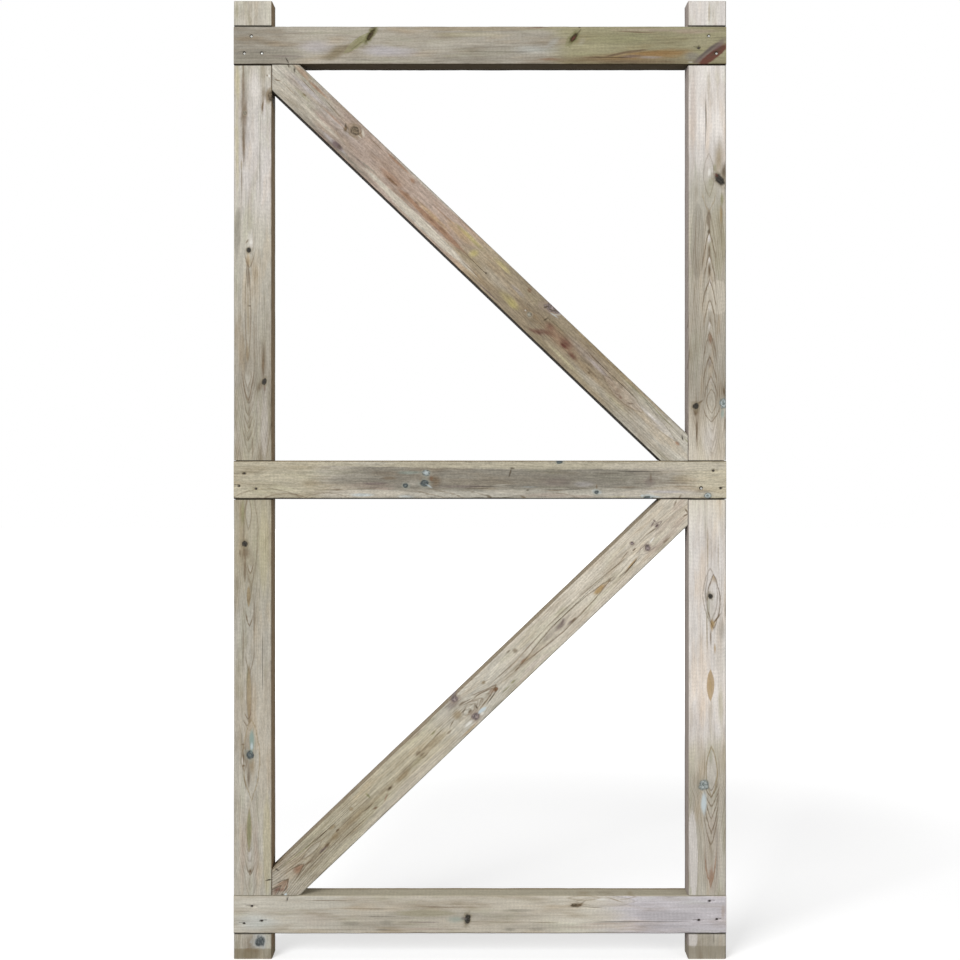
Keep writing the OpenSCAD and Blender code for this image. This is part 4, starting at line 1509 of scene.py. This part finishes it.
def upper_brace():
    return brace(
        "upper_brace", 6, rising=False,
        zones=[
            (0, "linen", .98), (110, "silver", .97), (170, "blush", .87), (300, "blush", .92),
            (430, "blush", 1), (520, "fawn", 1.05), (640, "fawn", .85), (760, "fawn", .86),
            (850, "fawn", .95), (930, "silver", 1.12), (1047, "linen", 1.05),
        ],
        # Its pit-dark underside and dark low front arris are painted shade.
        streaks=.07, sides=(("pit", "pit"), ("silver", "slate")), edges=(.7, .2), mottle=.18,
        heart=[
            (0, 4, 20, 0, .2), (450, 0, 20, 1, .15), (640, 0, 16, 1, .3), (780, 4, 12, 2, .35),
            (910, 6, 10, 5, .35), (1047, 4, 12, 5, .25),
        ],
        ring=3.4,
        knots=[
            Knot(193, 17, 19, 15, "brown"), Knot(681, 33, 38, 15, "plum", 28), Knot(655, -6, 9, 8, "pale"),
        ],
        lenses=[
            Lens(193, 17, 34, 22, "umber", .5), Lens(200, -4, 70, 22, "umber", .35, half=-1),
            Lens(665, 8, 54, 40, "umber", .35), Lens(880, 6, 100, 24, "umber", .45, "blush", .3),
            Lens(945, 10, 130, 20, "umber", .4, "milk", .35, -1, 1),
        ],
        blots=[
            (60, 8, 110, 30, "rose", .6), (90, 12, 130, 13, "lilac", .5), (160, 2, 170, 28, "rose", .6),
            (160, 4, 120, 14, "milk", .2), (300, 10, 120, 44, "brick", .3, 0, .95),
            (205, -22, 170, 18, "slate", .25), (580, -22, 130, 18, "umber", .35),
            (790, 12, 160, 26, "rose", .45), (835, -18, 170, 20, "linen", .45),
            (50, 28, 60, 14, "brick", .6), (90, 25, 80, 8, "brick", .8),
            (75, 17, 60, 2.8, "umber", .75, -3), (81, 1, 13, 6, "umber", .95),
            (80, -1, 60, 12, "moss", .35), (60, -10, 80, 6, "umber", .35), (130, -15, 170, 12, "cream", .8),
            (60, -20, 80, 16, "cream", .4), (200, -29, 240, 11, "slate", .75),
            (180, -26, 90, 9, "lilac", .55), (188, -26, 34, 14, "plum", .95, 0, .6),
            (193, -25, 12, 12, "bark", .5), (160, -31, 80, 4, "plum", .5),
            (140, 18, 70, 3, "umber", .65, -5), (178, 8, 18, 11, "umber", 1, -60),
            (174, 12, 14, 5, "bark", .7, -50), (150, 7, 74, 6, "brick", .6), (240, 26, 60, 3, "umber", .8),
            (255, -15, 60, 7, "slate", .75, 6), (240, -18, 40, 5, "plum", .6),
            (290, 29, 70, 7, "brick", .9, 0, .6), (332, 24, 18, 10, "brick", .95),
            (300, 0, 70, 16, "brick", .7, 0, .6), (305, -3, 40, 5, "russet", .9),
            (345, -5, 60, 11, "brick", .95, 0, .6), (342, -2, 14, 12, "russet", .65),
            (366, -2, 14, 8, "russet", .6), (420, -6, 170, 12, "brick", 1, 0, .4),
            (405, -5, 30, 7, "russet", .45), (435, -4, 24, 9, "russet", .6), (420, 18, 80, 4, "brick", .7),
            (400, 2, 120, 10, "amber", .45), (390, -21, 320, 15, "cream", .95, 0, .3),
            (400, -28, 240, 6, "linen", .8), (280, -19, 70, 8, "linen", .6),
            (350, 33, 280, 6, "linen", .75), (505, 5, 26, 20, "lime", .7, 60, .95),
            (480, 21, 90, 12, "lime", .6), (460, 14, 90, 22, "amber", .5), (560, 24, 60, 14, "lime", .4),
            (620, -14, 34, 20, "lime", .55, 0, .95), (610, -12, 70, 22, "lime", .35),
            (570, -2, 110, 30, "silver", .4), (546, -6, 7, 5, "bark", .9),
            (530, -20, 90, 3, "umber", .7, -2), (570, -29, 110, 4, "plum", .7),
            (625, 26, 12, 14, "russet", .7, 60), (610, 10, 50, 10, "lilac", .3),
            (683, 8, 5, 14, "bark", .9, -15), (699, 3, 30, 22, "oxblood", .7, 0, .95),
            (702, -8, 50, 14, "oxblood", .75, 22, .95), (730, 0, 110, 34, "brick", .6),
            (690, -18, 34, 15, "oxblood", .8, 20, .95), (680, -24, 24, 9, "oxblood", .5, 20),
            (740, 2, 44, 24, "oxblood", .75, 0, .95), (740, -5, 20, 9, "oxblood", .9),
            (764, -7, 34, 13, "oxblood", .8, 0, .95), (752, -22, 100, 8, "straw", .8),
            (840, 32, 320, 10, "tan", .7, 0, .4), (812, 10, 80, 12, "rose", .9),
            (795, 17, 40, 3.5, "umber", .9, -4), (812, -4, 60, 5, "umber", .55, -4),
            (808, -8, 9, 8, "umber", .9), (868, 14, 16, 14, "umber", .5), (868, 4, 18, 12, "umber", .75),
            (880, -1, 12, 6, "russet", 1), (873, -1, 18, 4, "umber", .9, 20),
            (901, 3, 20, 3.5, "umber", .95, 35), (890, 27, 130, 3, "moss", .8),
            (960, 26, 110, 3, "moss", .7, -2), (940, 22, 70, 3.5, "slate", .7, -9),
            (945, 12, 80, 10, "milk", .7), (1013, 9, 14, 9, "brick", .9), (925, -26, 200, 6, "slate", .35),
            (880, -14, 90, 12, "straw", .4),
        ],
        marks=[
            (207, 24, 22, 8, "cream", .8, -35), (207, 15, 12, 4, "cream", .7),
            (203, 22, 4, 12, "umber", .9, 30), (668, 25, 5, 14, "bark", .95, -25),
            (682, 35, 12, 9, "bark", .6, 30), (692, 28, 20, 4.5, "linen", .6, 35),
            (677, 27, 16, 3, "bark", .8, 30), (697, 35, 20, 4, "lilac", .5, 40),
            (685, 31, 24, 4, "bark", .8, 32), (690, 24, 26, 3, "frost", .6, 10),
            (645, -6, 5, 5, "milk", .6), (19, 21, 26, 3.4, "bark", .9, -24),
            (27, -14, 18, 3, "umber", .9, 30), (12, -20, 6, 6, "chip", .95),
            (1032, 23, 13, 9, "bark", .8, -30), (1025, 25, 26, 4, "moss", .7),
        ],
        checks=[Check(790, 120, 17.0), Check(500, 60, -7.0), Check(300, 180, 6.0, back=True)],
        gouges=[(19, 21, 22, 2.8, -22), (1032, 23, 10, 5, -30)],
    )


def lower_brace():
    return brace(
        "lower_brace", 7, rising=True,
        zones=[
            (0, "silver", 1.1), (130, "sand", .92), (240, "sand", 1.02), (400, "sand", 1.13),
            (470, "linen", 1.08), (560, "linen", 1.15), (640, "cream", 1.02), (760, "cream", 1.12),
            (1047, "cream", 1.06),
        ],
        streaks=.07, sides=(("linen", "slate"), ("fawn", "umber")), edges=(.35, .6), mottle=.15,
        heart=[
            (0, 2, 8, 0, .85), (80, 2, 8, 3, .65), (150, 4, 10, 3.5, .5), (470, -4, 9, 4, .45),
            (485, -5, 8, 4, .6), (560, -8, 7, 9, .5), (600, -8, 8, 9, .3), (830, -7, 9, 9, .3),
            (1047, -6, 12, 10, .25),
        ],
        ring=3.4,
        knots=[
            Knot(489, 30, 14, 12, "plum", -20), Knot(495, -20, 14, 14, "plum"), Knot(920, 12, 6, 6, "plum"),
            Knot(935, -13, 12, 11, "plum", 40),
        ],
        lenses=[
            Lens(736, -8, 226, 21, "umber", .8, "amber", .9, .66), Lens(740, -4, 380, 25, "umber", .3),
            Lens(500, -4, 126, 22, "umber", .9, "amber", .6, .72, 1), Lens(495, -3, 30, 15, "umber", .6),
            Lens(478, -3, 96, 30, "umber", .55, half=1), Lens(492, -2, 54, 22, "umber", .5, half=1),
            Lens(12, 1, 60, 22, "bark", .8, "brick", .6, half=1),
            Lens(0, 2, 50, 14, "bark", .8, "oxblood", .5, half=1),
            Lens(40, 2, 84, 22, "umber", .9, "brick", .8, .3, 1), Lens(965, 5, 44, 9, "plum", .7, half=1),
            Lens(110, 10, 50, 11, "umber", .5, "linen", .3), Lens(935, -12, 40, 20, "plum", .4, half=-1),
        ],
        blots=[
            (330, -26, 300, 24, "cream", .7, 0, .6), (190, -2, 250, 22, "tan", .6, 0, .8),
            (300, -4, 130, 20, "tan", .4, 0, .9), (110, -4, 90, 14, "umber", .3, 0, .9),
            (18, -2, 36, 10, "oxblood", .6, -50), (68, 2, 26, 20, "brick", .85),
            (72, 0, 22, 7, "russet", .6), (34, -5, 30, 4, "brick", .8, 35),
            (70, 27, 120, 2.6, "umber", .5, -3), (90, 22, 130, 3, "moss", .8, -5),
            (140, 17.5, 80, 3, "umber", .9, -3), (136, -3, 18, 9, "umber", 1), (125, -4, 26, 6, "plum", .8),
            (90, -3, 30, 5, "umber", .7, -10), (95, -10, 130, 3, "umber", .7, 3),
            (150, -10, 60, 2.8, "umber", .7), (158, -2, 26, 14, "tan", .9), (166, 14, 20, 10, "tan", .8),
            (169, 3.5, 12, 6, "umber", 1), (200, 4, 80, 3, "umber", .55), (214, 14, 12, 12, "tan", .8),
            (253, 11, 6, 18, "moss", .95), (240, -6, 34, 4, "umber", .8),
            (247, -15, 14, 5, "russet", .9, -10), (205, -2, 60, 8, "tan", .5),
            (275, -14, 22, 5, "brick", .8, 20), (291, -7, 20, 7, "umber", 1), (290, -7, 12, 5, "bark", .6),
            (325, -7, 50, 14, "tan", .85, 0, .6), (360, -6, 60, 16, "olive", .7),
            (340, -1, 80, 3, "umber", .5), (180, -16, 260, 2.4, "umber", .5, -1),
            (230, -22, 230, 2.6, "slate", .55, -1.5), (250, -31, 340, 8, "cream", .6),
            (372, 4, 16, 10, "umber", .6), (376, -3, 16, 6, "umber", .75), (378, -9, 24, 4, "umber", .7),
            (400, 0, 60, 12, "tan", .5), (418, 11, 16, 4, "moss", .95), (424, 4, 34, 3, "umber", .8),
            (412, -4, 80, 18, "tan", .6), (440, -8, 18, 6, "umber", .6), (455, 0, 20, 3.5, "umber", .9, 15),
            (470, -30, 60, 6, "amber", .6), (473, 4, 30, 28, "tan", .8), (480, 26, 40, 20, "plum", .55),
            (470, 30, 30, 4, "bark", .5), (487, 2, 16, 4, "bark", .9), (494, -7, 14, 8, "umber", .8),
            (508, -9, 5, 10, "bark", .9, -10), (502, 12, 40, 3, "umber", .7, -18),
            (492, 14, 20, 8, "umber", .5), (530, 8, 60, 2.8, "umber", .85, -20),
            (538, 2, 60, 2.6, "umber", .85, -20), (556, -9, 13, 9, "russet", 1, 0, .5),
            (550, -7, 24, 12, "brick", .6), (540, -15, 38, 3.5, "bark", .9, 10),
            (548, 16, 12, 9, "tan", .8), (590, 4, 120, 3.2, "umber", .7, -1),
            (655, 6, 90, 3.2, "umber", .6, 4), (730, 9, 110, 3.2, "umber", .6),
            (815, 7, 110, 3, "umber", .5, -2), (740, 13, 40, 12, "olive", .5),
            (610, -9, 20, 4, "umber", .95), (622, -8, 14, 6, "umber", .7), (628, -6, 18, 8, "brick", .9),
            (588, -21, 20, 5, "moss", .95), (570, -22, 30, 5, "moss", .6),
            (630, 18, 14, 14, "umber", .7, -60), (620, 25, 16, 5, "umber", .6),
            (722, -7, 34, 15, "plum", .7), (715, -4, 110, 18, "plum", .3), (729, -4, 20, 6, "plum", .7, 20),
            (690, -5, 30, 10, "plum", .3), (745, -16, 22, 6, "umber", .95), (738, -15, 20, 8, "plum", .6),
            (818, -8, 34, 14, "amber", .9, 0, .6), (828, -10, 24, 8, "brick", .5),
            (843, -10, 14, 4, "umber", .8, -30), (870, 3, 60, 3, "umber", .8, -3),
            (895, 6, 34, 3, "umber", .7, 8), (940, 6, 50, 3, "umber", .6, 3),
            (962, 4, 36, 3.5, "umber", .8, -8), (930, -6, 50, 3, "plum", .6, 4),
            (890, -17, 50, 4, "umber", 1, 6, .6), (893, -15, 46, 4, "amber", .8, 6),
            (866, -17, 24, 3, "umber", .8), (915, 2, 12, 4, "umber", 1), (940, -22, 30, 4, "plum", .7, -10),
            (975, 5, 12, 7, "plum", 1), (971, 12, 16, 5, "plum", .8, 10), (978, 14, 5, 10, "plum", .8),
            (1027, 11, 20, 5, "umber", .75, 20), (1030, 4, 50, 20, "blush", .5),
            (960, -25, 120, 14, "blush", .5), (985, -5, 90, 20, "blush", .35),
            (968, -28, 26, 6, "umber", .7), (975, -36, 12, 5, "bark", .9), (1010, -20, 60, 20, "blush", .5),
        ],
        marks=[
            (14, -13, 8, 8, "bark", .9), (19, -16, 9, 6, "frost", 1), (512, -20, 24, 9, "frost", 1, -8, .6),
            (476, -21, 28, 9, "chip", .9), (507, -24, 12, 6, "chip", .8), (493, -18, 12, 3, "ink", .8, 20),
            (949, -9, 20, 4, "chip", 1, 8), (1033, -13, 5, 14, "umber", .9, -10),
            (1026, -18, 14, 3.5, "umber", .9, -15), (18, 27, 24, 3, "bark", .8, -38),
            (18, -22, 18, 3, "bark", .7, 35),
        ],
        checks=[
            Check(120, 100, 17.0), Check(690, 160, 3.0), Check(870, 50, -17.0),
            Check(600, 200, -9.0, back=True),
        ],
        gouges=[(18, 27, 20, 2.4, -35)],
    )


def make_timbers():
    makers = (hanging_stile, closing_stile, top_rail, middle_rail, bottom_rail, upper_brace, lower_brace)
    return [make() for make in makers]


def add_object(name, data, matrix):
    made = bpy.data.objects.new(name, data)
    bpy.context.scene.collection.objects.link(made)
    made.matrix_world = matrix
    return made


def build_gate():
    timbers = make_timbers()
    blot, lens_tree, knot_tree = blot_group(), lens_group(), knot_group()
    for timber in timbers:
        mesh = timber_mesh(timber)
        mesh.materials.append(wood_material(timber, blot, lens_tree, knot_tree))
        piece = add_object(timber.node + "_timber", mesh, timber.matrix())
        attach(piece, "root")
        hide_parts(timber.node)
    piece = add_object("nail_heads", nail_heads(timbers), Matrix.Identity(4))
    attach(piece, "root")


# ---------------------------------------------------------------------------------------------
# Stage
# ---------------------------------------------------------------------------------------------
CAMERA_AWAY = 2.6  # metres from the front face
CAMERA_RISE = 0.080  # metres above the gate's middle, which the shift brings back to the picture's middle
PICTURE_FILL = 958 / 960  # of the picture's height, by the gate
FLOOR_REACH = 12.0  # metres each way
FLOOR_TONE, SEEN_TONE = 0.42, 0.80  # how pale the floor is for the gate's light, and for the camera
FLOOR_GLOW = 0.50  # added to what the camera sees near the gate, so that only shadows stay grey
GLOW_NEAR, GLOW_FAR = 1.0, 3.0  # metres from the gate: from the first on the glow rises, to plain white
WORLD_LIGHT = 0.36
LAMPS = (("key", (-3.4, -5.4, 3.0), 340), ("fill", (4.2, -4.6, 0.6), 75))  # from the gate's middle, and watts
LAMP_SIZE = 3.4


def seen_directly(graph):
    """1 for the camera's own rays and those that mirrors and glass pass on, 0 for all others."""
    path = graph.add("ShaderNodeLightPath").outputs
    through = graph.math("MAXIMUM", path["Is Glossy Ray"], path["Is Transmission Ray"])
    return graph.math("MAXIMUM", path["Is Camera Ray"], through)


def make_floor():
    lo, hi = cad_bounds
    corners = [(x * FLOOR_REACH, y * FLOOR_REACH, 0) for x, y in ((-1, -1), (1, -1), (1, 1), (-1, 1))]
    mesh = bpy.data.meshes.new("floor")
    mesh.from_pydata(corners, [], [(0, 1, 2, 3)])
    floor = add_object("floor", mesh, Matrix.Translation(((lo.x + hi.x) / 2, 0, lo.z)))
    material, graph = new_material("floor_white")
    seen = seen_directly(graph)
    diffuse = graph.add("ShaderNodeBsdfDiffuse")
    graph.put(diffuse.inputs["Color"], graph.mix(seen, (FLOOR_TONE,) * 3, (SEEN_TONE,) * 3))
    glow = graph.add("ShaderNodeEmission")
    graph.put(glow.inputs["Color"], (1, 1, 1))
    away = graph.vector("LENGTH", graph.add("ShaderNodeTexCoord").outputs["Object"])
    strength = graph.range(away, GLOW_NEAR, GLOW_FAR, FLOOR_GLOW, 1.0)
    graph.put(glow.inputs["Strength"], graph.times(seen, strength))
    both = graph.add("ShaderNodeAddShader")
    graph.put(both.inputs[0], diffuse.outputs[0])
    graph.put(both.inputs[1], glow.outputs[0])
    graph.show(both.outputs[0])
    mesh.materials.append(material)


def make_world():
    world = bpy.data.worlds.new("studio")
    bpy.context.scene.world = world
    world.use_nodes = True
    tree = world.node_tree
    tree.nodes.clear()
    graph = Graph(tree)
    background = graph.add("ShaderNodeBackground")
    graph.put(background.inputs["Color"], (1, 1, 1))
    strength = graph.times_plus(seen_directly(graph), 1 - WORLD_LIGHT, WORLD_LIGHT)
    graph.put(background.inputs["Strength"], strength)
    graph.show(background.outputs[0], "ShaderNodeOutputWorld")


def soft_box(name, place, target, size, watts):
    lamp = bpy.data.lights.new(name, "AREA")
    lamp.shape = "SQUARE"
    lamp.size = size
    lamp.energy = watts
    made = bpy.data.objects.new(name, lamp)
    bpy.context.scene.collection.objects.link(made)
    made.location = place
    made.rotation_euler = (Vector(target) - Vector(place)).to_track_quat("-Z", "Y").to_euler()


def make_lights():
    lo, hi = cad_bounds
    centre = (lo + hi) / 2
    for name, away, watts in LAMPS:
        soft_box(name, centre + Vector(away), centre, LAMP_SIZE, watts)


def make_camera():
    lo, hi = cad_bounds
    camera = bpy.data.cameras.new("camera")
    camera.sensor_width = 36
    camera.lens = camera.sensor_width * CAMERA_AWAY * PICTURE_FILL / (hi.z - lo.z)
    camera.shift_y = -CAMERA_RISE * camera.lens / camera.sensor_width / CAMERA_AWAY
    made = bpy.data.objects.new("camera", camera)
    bpy.context.scene.collection.objects.link(made)
    made.location = ((lo.x + hi.x) / 2, lo.y - CAMERA_AWAY, (lo.z + hi.z) / 2 + CAMERA_RISE)
    made.rotation_euler = (math.radians(90), 0, 0)
    bpy.context.scene.camera = made


build_gate()
make_floor()
make_world()
make_lights()
make_camera()
bpy.context.scene.view_settings.view_transform = "Standard"
